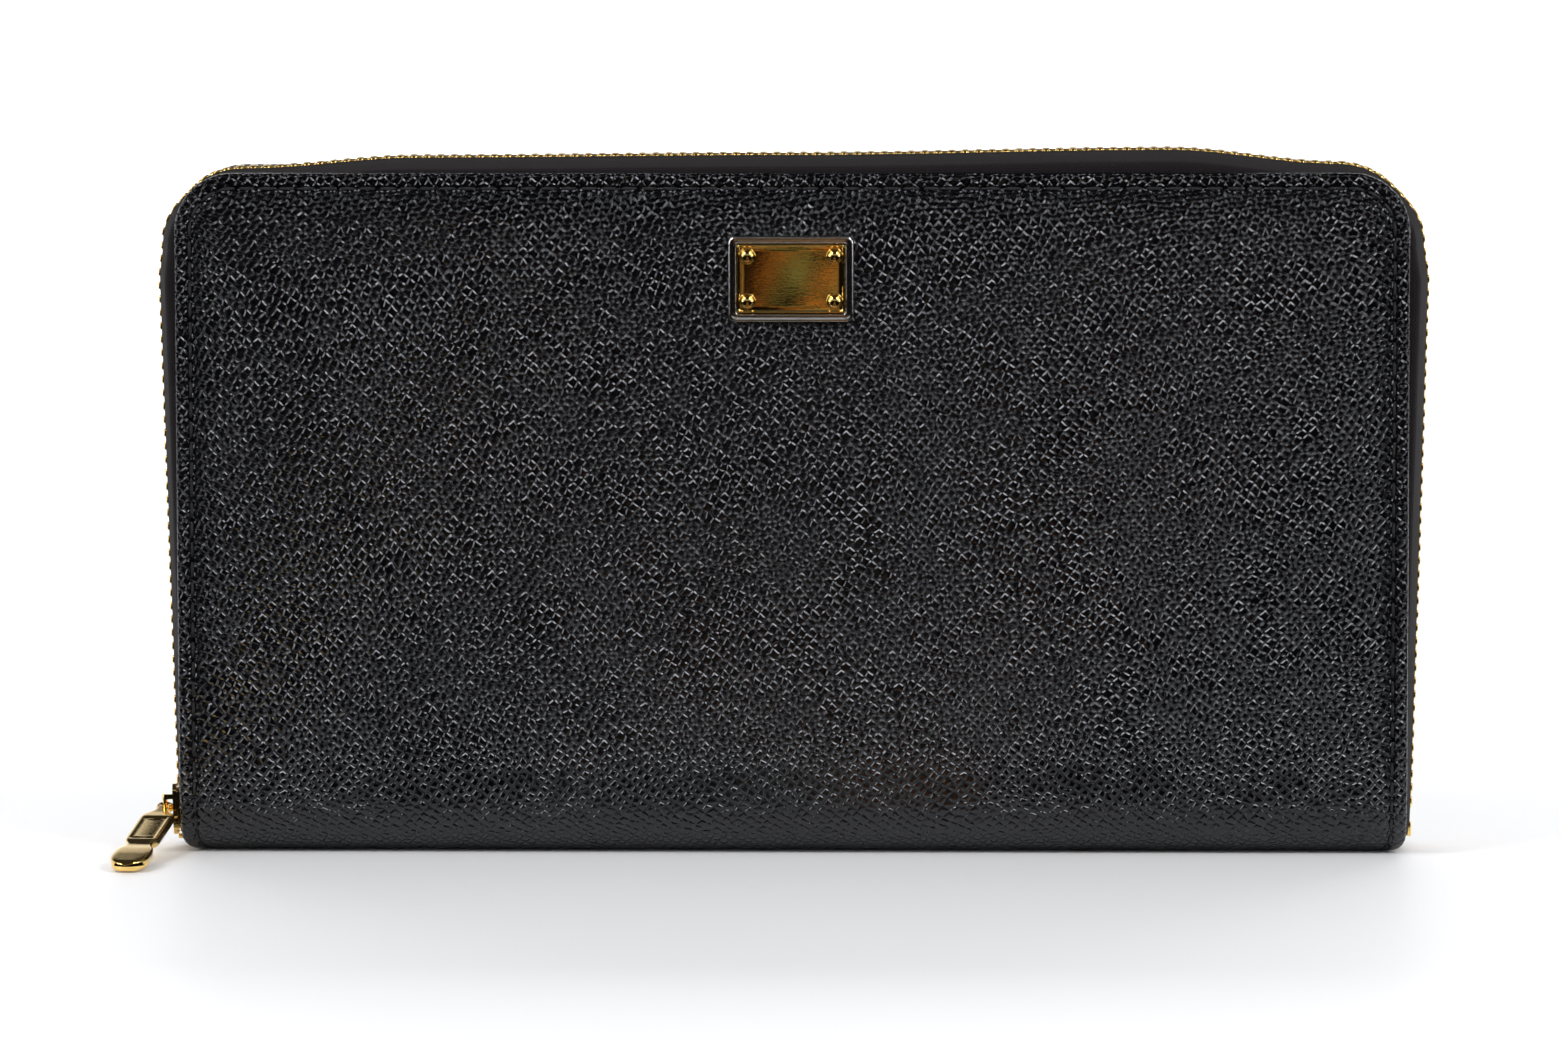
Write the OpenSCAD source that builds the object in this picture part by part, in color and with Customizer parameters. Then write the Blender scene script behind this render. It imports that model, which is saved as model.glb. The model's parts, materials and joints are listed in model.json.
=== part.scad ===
// Zip around wallet: a long leather case that stands on its folded spine.
// Frame: X along the width, the front cover faces -Y, +Z up, origin in the middle of the flat base.
// Each cover is a stack of layers. A layer's depth is counted inwards from the cover's outer face.

/* [Case] */
// Width of each cover panel
panel_w = 191; // [180:1:200]
// Height of the cover panels above the base
panel_h = 106.5; // [100:0.5:112]
// Thickness of the closed wallet over the leather
wallet_t = 24; // [24:0.5:26]
// Corner radius at the top of the panels
panel_corner_r = 9; // [8:0.5:10]
// Outer radius of the folded spine
spine_r = 9; // [8:0.5:9]
// Height of the fold line, where the covers start to swing
fold_z = 10.15; // [10.15:0.05:10.5]

/* [Layers] */
// Thickness of the outer leather, and of its turned-in hem
leather_t = 1; // [0.9:0.1:1]
// Width of the turned-in hem
hem_w = 8.5; // [7:0.5:9]
// Thickness of the padding under the leather
padding_t = 0.8; // [0.6:0.1:0.9]
// Thickness of the lining and of the zip tape
fabric_t = 0.5; // [0.4:0.1:0.5]
// Thickness of one pocket leaf
leaf_t = 0.4; // [0.3:0.05:0.4]

/* [Stitching] */
// Distance of the stitch groove from the panel's edge
groove_inset = 2; // [1.5:0.1:3]
// Width of the groove
groove_w = 0.7; // [0.6:0.1:1]
// Depth of the groove
groove_d = 0.35; // [0.2:0.05:0.5]
// Thickness of the sewing thread
thread_t = 0.5; // [0.3:0.1:0.5]

/* [Zip] */
// How far the tape stands outside the panel's side at the base
zip_foot_out = 0.3; // [0.3:0.1:1.5]
// How far the tape stands above the panel's top
zip_top_out = 1.5; // [0.5:0.1:2]
// Outward lean of the tape along the sides, in degrees
zip_lean = 1.6; // [0.5:0.1:2]
// Radius of the zip's path at the top corners
zip_corner_r = 12; // [12:0.5:20]
// Distance from tooth to tooth on one tape
tooth_pitch = 2.1; // [2:0.1:2.5]
// Height of a tooth across the tape's plane
tooth_h = 1.4; // [1.2:0.1:1.4]
// Distance from the chain's middle to the tape's edge
tooth_base = 2.3; // [2.2:0.1:2.4]
// How far a tooth reaches past the chain's middle
tooth_reach = 0.55; // [0.4:0.05:0.6]

/* [Slider] */
// Length of the slider along the chain
slider_l = 8; // [7:0.5:8.5]
// Half the slider's width
slider_half_w = 3.2; // [3.1:0.1:3.6]
// Thickness of each of the slider's plates
slider_plate_t = 0.6; // [0.5:0.1:0.8]
// Place of the slider's middle along the left side
slider_at = 6.05; // [6:0.05:6.1]
// Length of the pull tab
pull_l = 31.5; // [20:0.5:32]
// Width of the pull tab
pull_w = 6; // [5:0.2:6.4]
// Thickness of the pull tab
pull_t = 1.7; // [1.2:0.1:1.7]

/* [Pockets] */
// Height of the deepest card slot's mouth
card_top = 92; // [88:1:94]
// Step from one card slot's mouth to the next
card_step = 11; // [9:0.5:12]
// Width of the coin pouch
pouch_w = 176; // [160:2:176]
// Height of the coin pouch's mouth
pouch_top = 86; // [80:1:88]
// Free thickness inside the coin pouch
pouch_gap = 4.4; // [4.4:0.1:4.5]
// Thickness of the pouch's walls
pouch_wall_t = 0.5; // [0.4:0.1:0.5]

/* [Plaque] */
// Width of the plaque's frame
plaque_w = 19.4; // [18:0.2:22]
// Height of the plaque's frame
plaque_h = 13.4; // [12:0.2:15]
// Height of the plaque's middle above the base
plaque_z = 90.3; // [85:0.5:92]

/* [Hidden] */
$fn = 48;

leather_colour = "#1d1d21";
lining_colour = "#2a2622";
tape_colour = "#171415";
gold_colour = "#d9b04a";
silver_colour = "#b9bcc2";

half_t = wallet_t / 2;
half_w = panel_w / 2;
// Half the gap between a cover and the spine at the fold line
fold_gap = 0.15;
cover_z = fold_z + fold_gap;
spine_top = fold_z - fold_gap;

// Depths of the layers, from the outer face inwards
core_d = 2 * leather_t;
lining_d = core_d + fabric_t;
slip_d = lining_d + fabric_t;
card_d = slip_d + leaf_t;
board_t = lining_d - leather_t - padding_t;
lining_inset = 1.5;
lining_corner_r = zip_corner_r - 4;
lining_clear = 0.05;
board_side_gap = 1;
board_top_gap = 0.5;
spine_board_in = 9;
least_corner_r = 2;
// Middle of the groove and the depth of the thread in it
groove_mid = half_w - groove_inset - groove_w / 2;
thread_d = 0.6 * thread_t;

// Pocket leaves: how far in they start from the cover's sides, fold line and top
slip_side_in = 4.5;
slip_foot_in = 0.7;
slip_top_in = 10;
slip_corner_r = 3;
card_side_in = 5.5;
card_foot_in = 1.7;
card_corner_r = 2;
card_count = 4;

// How far cutting shapes reach past what they cut
past = 1;
wide_past = 5;

// The zip's path: up the left side, round a corner, along the top and down the right side
zip_top = panel_h + zip_top_out;
foot_x = half_w + zip_foot_out;
side_len = (zip_top - zip_corner_r - zip_corner_r * sin(zip_lean)) / cos(zip_lean);
corner_turn = 90 + zip_lean;
corner_len = zip_corner_r * corner_turn * PI / 180;
corner_x = foot_x + side_len * sin(zip_lean) - zip_corner_r * cos(zip_lean);
path_len = 2 * (side_len + corner_len + corner_x);

// Teeth on the covers, evenly spaced between the two fold lines
tooth_count = round((path_len - 2 * fold_z) / tooth_pitch);
tooth_step = (path_len - 2 * fold_z) / tooth_count;
tooth_w = 0.45 * tooth_step;
end_teeth = 2;

// Slider
channel = tooth_h / 2 + 0.1;
slot = fabric_t / 2 + 0.15;
plate_out = channel + slider_plate_t;
flange_in = tooth_base + 0.3;
slider_lip_in = 1.2;
bar_r = 0.4;
bar_out = plate_out + 1.5;
crown_l = 4.2;
eye_r = 1.3;
eye_clear = 0.35;
// The tab points forwards and a little outwards, and slopes down until its head almost rests
pull_turn = 264;
pull_floor = 0.1;
pull_drop = asin((slider_at - pull_t / 2 - pull_floor) / pull_l);

// Coin pouch
pouch_half_t = pouch_gap / 2;
pouch_z = 2.5;
binding_w = 1;
pouch_tape_t = 0.35;
pouch_tape_h = 8;
pouch_tooth_h = 1.2;
pouch_tooth_base = 1.4;
pouch_tooth_reach = 0.4;
pouch_chain_z = pouch_top + pouch_tape_t / 2;
pouch_teeth_half = 83;
pouch_tooth_count = floor(2 * pouch_teeth_half / tooth_pitch) - 1;
pouch_slider_x = -80;
pouch_channel = pouch_tooth_h / 2 + 0.1;
pouch_plate_z = pouch_chain_z + pouch_channel;
pouch_crown_h = 1.9;
pouch_pivot_z = pouch_plate_z + slider_plate_t + pouch_crown_h / 2;
pouch_pull_reach = 16;

// Gussets: folded leaves that close the ends of the bill compartments
gusset_out_x = half_w - 3.5;
gusset_in_x = 80;
gusset_z = 12.5;
gusset_top = 84;
gusset_t = 2.3;
gusset_gap = 0.1;
pouch_seam_in = 0.5;

// Plaque
plaque_rim = 1.3;
plaque_proud = 1.2;
plate_t = 0.8;
screw_x = 6.75;
screw_z = 3.5;
shank_r = 0.4;
shank_clear = 0.05;
dome_r = 1.2;
dome_sink = 0.65;
backplate_t = 0.3;
backplate_inset = 0.7;
plate_clear = 0.05;

// ---- Shared shapes ----

// Outline in the X-Z plane with a straight foot and two round top corners
module panel_shape(half, foot, top, r) {
    translate([-half, foot])
        square([2 * half, top - r - foot]);
    translate([-half + r, foot])
        square([2 * (half - r), top - foot]);
    for (side = [-1, 1])
        translate([side * (half - r), top - r])
            circle(r);
}

// Panel outline drawn in from the cover's edge
module inset_shape(inset) {
    panel_shape(half_w - inset, cover_z, panel_h - inset, max(panel_corner_r - inset, least_corner_r));
}

// A front layer: a shape in the X-Z plane, from one depth to another
module front_layer(depth, thickness) {
    translate([0, -half_t + depth + thickness, 0])
        rotate([90, 0, 0])
            linear_extrude(thickness)
                children();
}

// What the front has, on the back
module on_back() {
    mirror([0, 1, 0])
        children();
}

// Moves to a place on the left half of the zip's path. Local X points outwards, Y across the chain.
module on_left_path(t) {
    if (t <= side_len)
        translate([-foot_x - t * sin(zip_lean), 0, t * cos(zip_lean)])
            rotate([0, 180 - zip_lean, 0])
                children();
    else if (t <= side_len + corner_len)
        translate([-corner_x, 0, zip_top - zip_corner_r])
            rotate([0, 180 - zip_lean + (t - side_len) / zip_corner_r * 180 / PI, 0])
                translate([zip_corner_r, 0, 0])
                    children();
    else
        translate([t - side_len - corner_len - corner_x, 0, zip_top])
            rotate([0, 270, 0])
                children();
}

module on_path(t) {
    if (t <= path_len / 2)
        on_left_path(t)
            children();
    else
        mirror([1, 0, 0])
            on_left_path(path_len - t)
                children();
}

// Everything inside the zip's path above the fold line, grown outwards by some distance
module zip_outline(grow) {
    r = zip_corner_r + grow;
    corner_z = zip_top - zip_corner_r;
    foot = foot_x + cover_z * tan(zip_lean) + grow / cos(zip_lean);
    tangent = [corner_x + r * cos(zip_lean), corner_z + r * sin(zip_lean)];
    polygon([
        [-foot, cover_z],
        [-tangent.x, tangent.y],
        [-corner_x, corner_z + r],
        [corner_x, corner_z + r],
        tangent,
        [foot, cover_z],
    ]);
    for (side = [-1, 1])
        translate([side * corner_x, corner_z])
            circle(r);
}

// Cross-section of the spine between two radii about its bend centres, open at the top
module spine_band(r_out, r_in) {
    bend_y = half_t - spine_r;
    difference() {
        spine_solid(bend_y, r_out);
        spine_solid(bend_y, r_in);
    }
}

module spine_solid(bend_y, r) {
    for (side = [-1, 1])
        translate([side * bend_y, spine_r])
            circle(r);
    translate([-bend_y, spine_r - r])
        square([2 * bend_y, r]);
    translate([-bend_y - r, spine_r])
        square([2 * (bend_y + r), spine_top + r]);
}

// Extrudes a Y-Z cross-section along X, between two places
module along_width(x0, x1) {
    translate([x0, 0, 0])
        rotate([90, 0, 90])
            linear_extrude(x1 - x0)
                children();
}

module below_fold(x0, x1, foot) {
    translate([x0, -half_t, foot])
        cube([x1 - x0, wallet_t, spine_top - foot]);
}

// ---- Covers ----

module cover_leather() {
    difference() {
        union() {
            front_layer(0, leather_t)
                inset_shape(0);
            front_layer(leather_t, leather_t)
                difference() {
                    inset_shape(0);
                    inset_shape(hem_w);
                }
        }
        front_layer(-1, 1 + groove_d)
            difference() {
                inset_shape(groove_inset);
                inset_shape(groove_inset + groove_w);
            }
    }
}

module front_leather() {
    color(leather_colour)
        difference() {
            cover_leather();
            screw_holes(-half_t - past, leather_t + 2 * past);
        }
}

module back_leather() {
    color(leather_colour)
        on_back()
            cover_leather();
}

// The padding lies inside the hem
module cover_padding() {
    front_layer(leather_t, padding_t)
        inset_shape(hem_w);
}

module front_padding() {
    color("#3a3a3a")
        difference() {
            cover_padding();
            plaque_block(
                plaque_w - backplate_inset,
                plaque_h - backplate_inset,
                -half_t,
                leather_t + backplate_t
            );
        }
}

module back_padding() {
    color("#3a3a3a")
        on_back()
            cover_padding();
}

module cover_board() {
    front_layer(leather_t + padding_t, board_t)
        panel_shape(
            half_w - hem_w - board_side_gap,
            cover_z,
            panel_h - hem_w - board_top_gap,
            panel_corner_r
        );
}

module front_board() {
    color("#8a7a62")
        cover_board();
}

module back_board() {
    color("#8a7a62")
        on_back()
            cover_board();
}

module cover_lining() {
    front_layer(lining_d, fabric_t)
        panel_shape(half_w - lining_inset, cover_z, panel_h - lining_inset, lining_corner_r);
}

module front_lining() {
    color(lining_colour)
        cover_lining();
}

module back_lining() {
    color(lining_colour)
        on_back()
            cover_lining();
}

// The thread lies in the groove, along the sides and the top
module cover_stitching() {
    side_gap = (groove_w - thread_t) / 2;
    front_layer(groove_d - thread_d, thread_d)
        difference() {
            inset_shape(groove_inset + side_gap);
            inset_shape(groove_inset + side_gap + thread_t);
        }
}

module front_stitching() {
    color("black")
        cover_stitching();
}

module back_stitching() {
    color("black")
        on_back()
            cover_stitching();
}

// ---- Pockets on the inner faces ----

module slip_pocket() {
    front_layer(slip_d, leaf_t)
        panel_shape(half_w - slip_side_in, cover_z + slip_foot_in, panel_h - slip_top_in, slip_corner_r);
}

module front_slip_pocket() {
    color(leather_colour)
        slip_pocket();
}

module back_slip_pocket() {
    color(leather_colour)
        on_back()
            slip_pocket();
}

// Card slot n, counted from the deepest leaf with the highest mouth
module card_slot(n) {
    front_layer(card_d + (n - 1) * leaf_t, leaf_t)
        panel_shape(
            half_w - card_side_in,
            cover_z + card_foot_in,
            card_top - (n - 1) * card_step,
            card_corner_r
        );
}

module front_card_slot(n) {
    color(leather_colour)
        card_slot(n);
}

module back_card_slot(n) {
    color(leather_colour)
        on_back()
            card_slot(n);
}

// ---- Main zip ----

// The tape's flange is sewn in behind the hem, and its band turns inwards to the chain
module cover_tape() {
    flange_w = 9;
    front_layer(core_d, fabric_t)
        difference() {
            zip_outline(fabric_t / 2);
            zip_outline(-flange_w);
        }
    front_layer(core_d, half_t - core_d - tooth_base)
        difference() {
            zip_outline(fabric_t / 2);
            zip_outline(-fabric_t / 2);
        }
}

module front_zip_tape() {
    color(tape_colour)
        cover_tape();
}

module back_zip_tape() {
    color(tape_colour)
        on_back()
            cover_tape();
}

module tooth() {
    translate([-tooth_h / 2, -tooth_base, -tooth_w / 2])
        cube([tooth_h, tooth_base + tooth_reach, tooth_w]);
}

module front_zip_teeth() {
    color(gold_colour)
        for (i = [0 : tooth_count - 1])
            on_path(fold_z + (i + 0.25) * tooth_step)
                tooth();
}

module back_zip_teeth() {
    color(gold_colour)
        for (i = [0 : tooth_count - 1])
            on_path(fold_z + (i + 0.75) * tooth_step)
                on_back()
                    tooth();
}

// The last teeth below the fold line, at both ends of the chain
module zip_end_teeth() {
    color(gold_colour)
        for (side = [0, 1], i = [1 : end_teeth])
            mirror([side, 0, 0]) {
                on_left_path(fold_z - (i - (side == 0 ? 0.25 : 0.75)) * tooth_step)
                    tooth();
                on_left_path(fold_z - (i - (side == 0 ? 0.75 : 0.25)) * tooth_step)
                    on_back()
                        tooth();
            }
}

// Below the fold line the tape follows the spine's inner face
module tape_end() {
    end_in = 8;
    end_foot = 2.2;
    difference() {
        union() {
            intersection() {
                along_width(-half_w, -half_w + end_in)
                    spine_band(spine_r - leather_t, spine_r - leather_t - fabric_t);
                below_fold(-half_w - past, -half_w + end_in + past, end_foot);
            }
            intersection() {
                on_left_path(spine_top / cos(zip_lean))
                    translate([-fabric_t / 2, -half_t, 0])
                        cube([fabric_t, wallet_t, spine_top]);
                along_width(-half_w - wide_past, -half_w + end_in)
                    spine_solid(half_t - spine_r, spine_r - leather_t);
                below_fold(-half_w - wide_past, -half_w + end_in, end_foot);
            }
            tape_end_flap(end_in, end_foot);
        }
        translate([-half_w - wide_past, -tooth_base, -past])
            cube([end_in + 2 * wide_past, wallet_t, spine_top + 2 * past]);
    }
}

// Joins the band outside the case to the flange inside it
module tape_end_flap(end_in, end_foot) {
    intersection() {
        along_width(-foot_x, -half_w + 1)
            spine_band(spine_r - leather_t, spine_r - leather_t - fabric_t);
        below_fold(-foot_x, -half_w + end_in, end_foot);
    }
}

module front_zip_tape_ends() {
    color(tape_colour)
        for (side = [0, 1])
            mirror([side, 0, 0])
                tape_end();
}

module back_zip_tape_ends() {
    color(tape_colour)
        on_back()
            for (side = [0, 1])
                mirror([side, 0, 0])
                    tape_end();
}

// Two small clips at the closed end, one on each tape, below the slider
module zip_top_stops() {
    stop_w = 1.2;
    stop_l = 0.7;
    stop_at = 1.85;
    color(gold_colour)
        for (side = [-1, 1])
            on_left_path(stop_at)
                translate([-tooth_h / 2, side * tooth_base - stop_w / 2, -stop_l / 2])
                    cube([tooth_h, stop_w, stop_l]);
}

// One box that joins both tapes at the open end
module zip_bottom_stop() {
    stop_l = 2.2;
    stop_at = 4.3;
    color(gold_colour)
        mirror([1, 0, 0])
            on_left_path(stop_at)
                translate([-tooth_h / 2, -tooth_base, 0])
                    cube([tooth_h, 2 * tooth_base, stop_l]);
}

// Rounded plate of a slider, in its own plane
module slider_plate(half, length) {
    corner = 1.2;
    translate([-half, -length / 2 + corner])
        square([2 * half, length - 2 * corner]);
    translate([-half + corner, -length / 2])
        square([2 * (half - corner), length]);
    for (sx = [-1, 1], sy = [-1, 1])
        translate([sx * (half - corner), sy * (length / 2 - corner)])
            circle(corner);
}

// The slider: two plates round the chain, joined by the wedge at its leading end,
// with a crown on the outer plate. Local X outwards, Y across, Z against the path.
module zip_slider() {
    wedge_r = 1;
    wedge_in = 0.5;
    wedge_at = slider_l / 2 - wedge_r - wedge_in;
    color(gold_colour)
        on_left_path(slider_at) {
            for (face = [-1, 1])
                translate([face > 0 ? channel : -plate_out, 0, 0])
                    rotate([90, 0, 90])
                        linear_extrude(slider_plate_t)
                            slider_plate(slider_half_w, slider_l);
            for (face = [-1, 1], side = [-1, 1])
                translate([
                    face > 0 ? slot : -channel,
                    side > 0 ? flange_in : -slider_half_w,
                    -slider_l / 2 + slider_lip_in
                ])
                    cube([channel - slot, slider_half_w - flange_in, slider_l - 2 * slider_lip_in]);
            translate([-channel, 0, wedge_at])
                rotate([0, 90, 0])
                    cylinder(r = wedge_r, h = 2 * channel);
            slider_crown();
        }
}

// The crown is a bar along the slider, held by a leg at each end
module slider_crown() {
    translate([bar_out, 0, -crown_l / 2])
        cylinder(r = bar_r, h = crown_l);
    for (end = [-1, 1])
        translate([plate_out, -bar_r, end * (crown_l / 2 - bar_r) - bar_r])
            cube([bar_out - plate_out, 2 * bar_r, 2 * bar_r]);
}

// The pull tab: an eye round the crown's bar, a narrow neck, a long body and a round head
module zip_pull() {
    neck_w = 2.2;
    neck_l = 4;
    head_r = pull_w / 2;
    color(gold_colour)
        on_left_path(slider_at)
            translate([bar_out, 0, 0])
                rotate([0, zip_lean - 180, 0])
                    difference() {
                        rotate([0, 0, pull_turn])
                            rotate([0, pull_drop, 0])
                                translate([0, 0, -pull_t / 2])
                                    linear_extrude(pull_t)
                                        pull_outline(neck_w, neck_l, head_r);
                        translate([0, 0, -pull_t * 2])
                            cylinder(r = bar_r + eye_clear, h = pull_t * 4);
                    }
}

module pull_outline(neck_w, neck_l, head_r) {
    circle(eye_r);
    translate([0.9, -neck_w / 2])
        square([neck_l, neck_w]);
    translate([neck_l, -pull_w / 2 + 0.5])
        square([pull_l - neck_l - head_r, pull_w - 1]);
    translate([pull_l - head_r, 0])
        circle(head_r);
}

// ---- Spine ----

module spine_leather() {
    inner_r = spine_r - leather_t;
    color(leather_colour)
        difference() {
            intersection() {
                along_width(-half_w, half_w)
                    spine_band(spine_r, inner_r);
                below_fold(-half_w - past, half_w + past, -past);
            }
            for (side = [-1, 1])
                along_width(
                    side * groove_mid - groove_w / 2,
                    side * groove_mid + groove_w / 2
                )
                    spine_band(spine_r + past, spine_r - groove_d);
        }
}

module spine_board() {
    board_y = half_t - spine_r;
    color("#8a7a62")
        translate([-half_w + spine_board_in, -board_y, leather_t])
            cube([panel_w - 2 * spine_board_in, 2 * board_y, board_t]);
}

module spine_lining() {
    lining_r = spine_r - leather_t - board_t - lining_clear;
    color(lining_colour)
        intersection() {
            along_width(-half_w + lining_inset, half_w - lining_inset)
                spine_band(lining_r, lining_r - fabric_t);
            below_fold(-half_w, half_w, 0);
        }
}

module spine_stitching() {
    color("black")
        for (side = [-1, 1])
            intersection() {
                along_width(
                    side * groove_mid - thread_t / 2,
                    side * groove_mid + thread_t / 2
                )
                    spine_band(spine_r - groove_d + thread_d, spine_r - groove_d);
                below_fold(-half_w, half_w, -past);
            }
}

// ---- Plaque on the front cover ----

// Places its children at the four screws, in the X-Z plane
module at_screws() {
    for (sx = [-1, 1], sz = [-1, 1])
        translate([sx * screw_x, 0, plaque_z + sz * screw_z])
            children();
}

// Clearance holes for the four screw shanks, from one Y place inwards
module screw_holes(y0, length) {
    at_screws()
        translate([0, y0, 0])
            rotate([-90, 0, 0])
                cylinder(r = shank_r + shank_clear, h = length);
}

// A flat rectangle standing on the leather, or below it with a negative start
module plaque_block(w, h, y0, t) {
    translate([-w / 2, y0, plaque_z - h / 2])
        cube([w, t, h]);
}

module plaque_frame() {
    step = 0.5;
    color(silver_colour)
        difference() {
            union() {
                plaque_block(plaque_w, plaque_h, -half_t - plaque_proud + step, plaque_proud - step);
                plaque_block(plaque_w - step, plaque_h - step, -half_t - plaque_proud, plaque_proud);
            }
            plaque_block(
                plaque_w - 2 * plaque_rim,
                plaque_h - 2 * plaque_rim,
                -half_t - 2 * past,
                3 * past
            );
        }
}

module plaque_plate() {
    gap = 2 * (plaque_rim + plate_clear);
    color(gold_colour)
        difference() {
            plaque_block(plaque_w - gap, plaque_h - gap, -half_t - plate_t, plate_t);
            screw_holes(-half_t - 2 * past, 3 * past);
        }
}

module plaque_screws() {
    dome_cap = dome_r - dome_sink;
    color(gold_colour)
        at_screws() {
            intersection() {
                translate([0, -half_t - plate_t + dome_sink, 0])
                    sphere(dome_r);
                translate([-2 * dome_r, -half_t - plate_t - dome_cap - past, -2 * dome_r])
                    cube([4 * dome_r, dome_cap + past, 4 * dome_r]);
            }
            translate([0, -half_t - plate_t, 0])
                rotate([-90, 0, 0])
                    cylinder(r = shank_r, h = plate_t + leather_t + backplate_t);
        }
}

module plaque_backplate() {
    color(silver_colour)
        difference() {
            plaque_block(
                plaque_w - 2 * backplate_inset,
                plaque_h - 2 * backplate_inset,
                -half_t + leather_t,
                backplate_t
            );
            screw_holes(-half_t, 3 * past);
        }
}

// ---- Coin pouch ----

module pouch_wall() {
    translate([-pouch_w / 2, -pouch_half_t - pouch_wall_t, pouch_z])
        cube([pouch_w, pouch_wall_t, pouch_top - pouch_z]);
}

module pouch_front_wall() {
    color(leather_colour)
        pouch_wall();
}

module pouch_back_wall() {
    color(leather_colour)
        on_back()
            pouch_wall();
}

// Closes the pouch along its foot and its two ends
module pouch_binding() {
    color(leather_colour)
        difference() {
            translate([-pouch_w / 2, -pouch_half_t, pouch_z])
                cube([pouch_w, pouch_gap, pouch_top - pouch_z]);
            translate([-pouch_w / 2 + binding_w, -pouch_half_t - past, pouch_z + binding_w])
                cube([pouch_w - 2 * binding_w, pouch_gap + 2 * past, pouch_top]);
        }
}

module pouch_tape() {
    tape_half = pouch_w / 2 - binding_w;
    translate([-tape_half, -pouch_half_t, pouch_top - pouch_tape_h])
        cube([2 * tape_half, pouch_tape_t, pouch_tape_h]);
    translate([-tape_half, -pouch_half_t - pouch_wall_t, pouch_top])
        cube([2 * tape_half, pouch_half_t + pouch_wall_t - pouch_tooth_base, pouch_tape_t]);
}

module pouch_front_tape() {
    color(tape_colour)
        pouch_tape();
}

module pouch_back_tape() {
    color(tape_colour)
        on_back()
            pouch_tape();
}

module pouch_tooth_row(shift) {
    for (i = [0 : pouch_tooth_count - 1])
        translate([
            -pouch_teeth_half + (i + shift) * tooth_pitch,
            -pouch_tooth_base,
            pouch_chain_z - pouch_tooth_h / 2
        ])
            cube([tooth_w, pouch_tooth_base + pouch_tooth_reach, pouch_tooth_h]);
}

module pouch_front_teeth() {
    color(gold_colour)
        pouch_tooth_row(1.25);
}

module pouch_back_teeth() {
    color(gold_colour)
        on_back()
            pouch_tooth_row(1.75);
}

module pouch_zip_stops() {
    stop_l = 0.8;
    stop_in = 2.4;
    color(gold_colour)
        for (end = [-1, 1])
            translate([
                end * (pouch_w / 2 - stop_in) - stop_l / 2,
                -pouch_tooth_base,
                pouch_chain_z - pouch_tooth_h / 2
            ])
                cube([stop_l, 2 * pouch_tooth_base, pouch_tooth_h]);
}

module pouch_slider() {
    wing_gap = 0.15;
    wing = pouch_half_t + pouch_wall_t + wing_gap;
    wing_t = 0.45;
    lower_half = 1.3;
    wedge_r = 0.9;
    wedge_in = 0.4;
    color(gold_colour)
        translate([pouch_slider_x, 0, 0]) {
            translate([0, 0, pouch_plate_z])
                rotate([0, 0, 90])
                    linear_extrude(slider_plate_t)
                        slider_plate(wing + wing_t, slider_l);
            translate([0, 0, pouch_chain_z - pouch_channel - slider_plate_t])
                rotate([0, 0, 90])
                    linear_extrude(slider_plate_t)
                        slider_plate(lower_half, slider_l);
            for (side = [-1, 1])
                translate([-slider_l / 2 + slider_lip_in, side > 0 ? wing : -wing - wing_t, pouch_top])
                    cube([slider_l - 2 * slider_lip_in, wing_t, pouch_plate_z - pouch_top]);
            translate([-slider_l / 2 + wedge_r + wedge_in, 0, pouch_chain_z - pouch_channel])
                cylinder(r = wedge_r, h = 2 * pouch_channel);
            pouch_crown();
        }
}

// A bridge over the pull's cross-bar
module pouch_crown() {
    foot = pouch_plate_z + slider_plate_t;
    bridge_half = crown_l / 2;
    bridge_w = 1.2;
    bridge_t = 0.5;
    translate([-bridge_half, -bridge_w / 2, foot + pouch_crown_h])
        cube([2 * bridge_half, bridge_w, bridge_t]);
    for (end = [-1, 1])
        translate([end > 0 ? bridge_half - bridge_t : -bridge_half, -bridge_w / 2, foot])
            cube([bridge_t, bridge_w, pouch_crown_h]);
}

module pouch_pull() {
    cross_r = 0.5;
    tab_half_t = 0.8 * cross_r;
    arm_in = 1;
    arm_out = 1.9;
    arm_l = 4;
    color(gold_colour)
        translate([pouch_slider_x, 0, pouch_pivot_z]) {
            translate([0, -arm_out, 0])
                rotate([-90, 0, 0])
                    cylinder(r = cross_r, h = 2 * arm_out);
            for (side = [-1, 1])
                translate([0, side > 0 ? arm_in : -arm_out, -tab_half_t])
                    cube([arm_l, arm_out - arm_in, 2 * tab_half_t]);
            translate([arm_l, -arm_out, -tab_half_t])
                cube([pouch_pull_reach - arm_l - arm_out, 2 * arm_out, 2 * tab_half_t]);
            translate([pouch_pull_reach - arm_out, 0, -tab_half_t])
                cylinder(r = arm_out, h = 2 * tab_half_t);
        }
}

// ---- Gussets ----

// One folded leaf between the pockets and the pouch, at the front's left end
module gusset() {
    y_out = -half_t + card_d + card_count * leaf_t + gusset_gap;
    y_in = -pouch_half_t - pouch_wall_t - gusset_gap;
    y_mid = (y_out + y_in) / 2;
    pouch_x = pouch_w / 2 - pouch_seam_in;
    translate([0, 0, gusset_z])
        linear_extrude(gusset_top - gusset_z)
            polygon([
                [-gusset_out_x + gusset_t, y_out],
                [-gusset_in_x, y_mid],
                [-pouch_x + gusset_t, y_in],
                [-pouch_x, y_in],
                [-gusset_in_x - gusset_t, y_mid],
                [-gusset_out_x, y_out],
            ]);
}

module front_left_gusset() {
    color(lining_colour)
        gusset();
}

module front_right_gusset() {
    color(lining_colour)
        mirror([1, 0, 0])
            gusset();
}

module back_left_gusset() {
    color(lining_colour)
        on_back()
            gusset();
}

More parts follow.
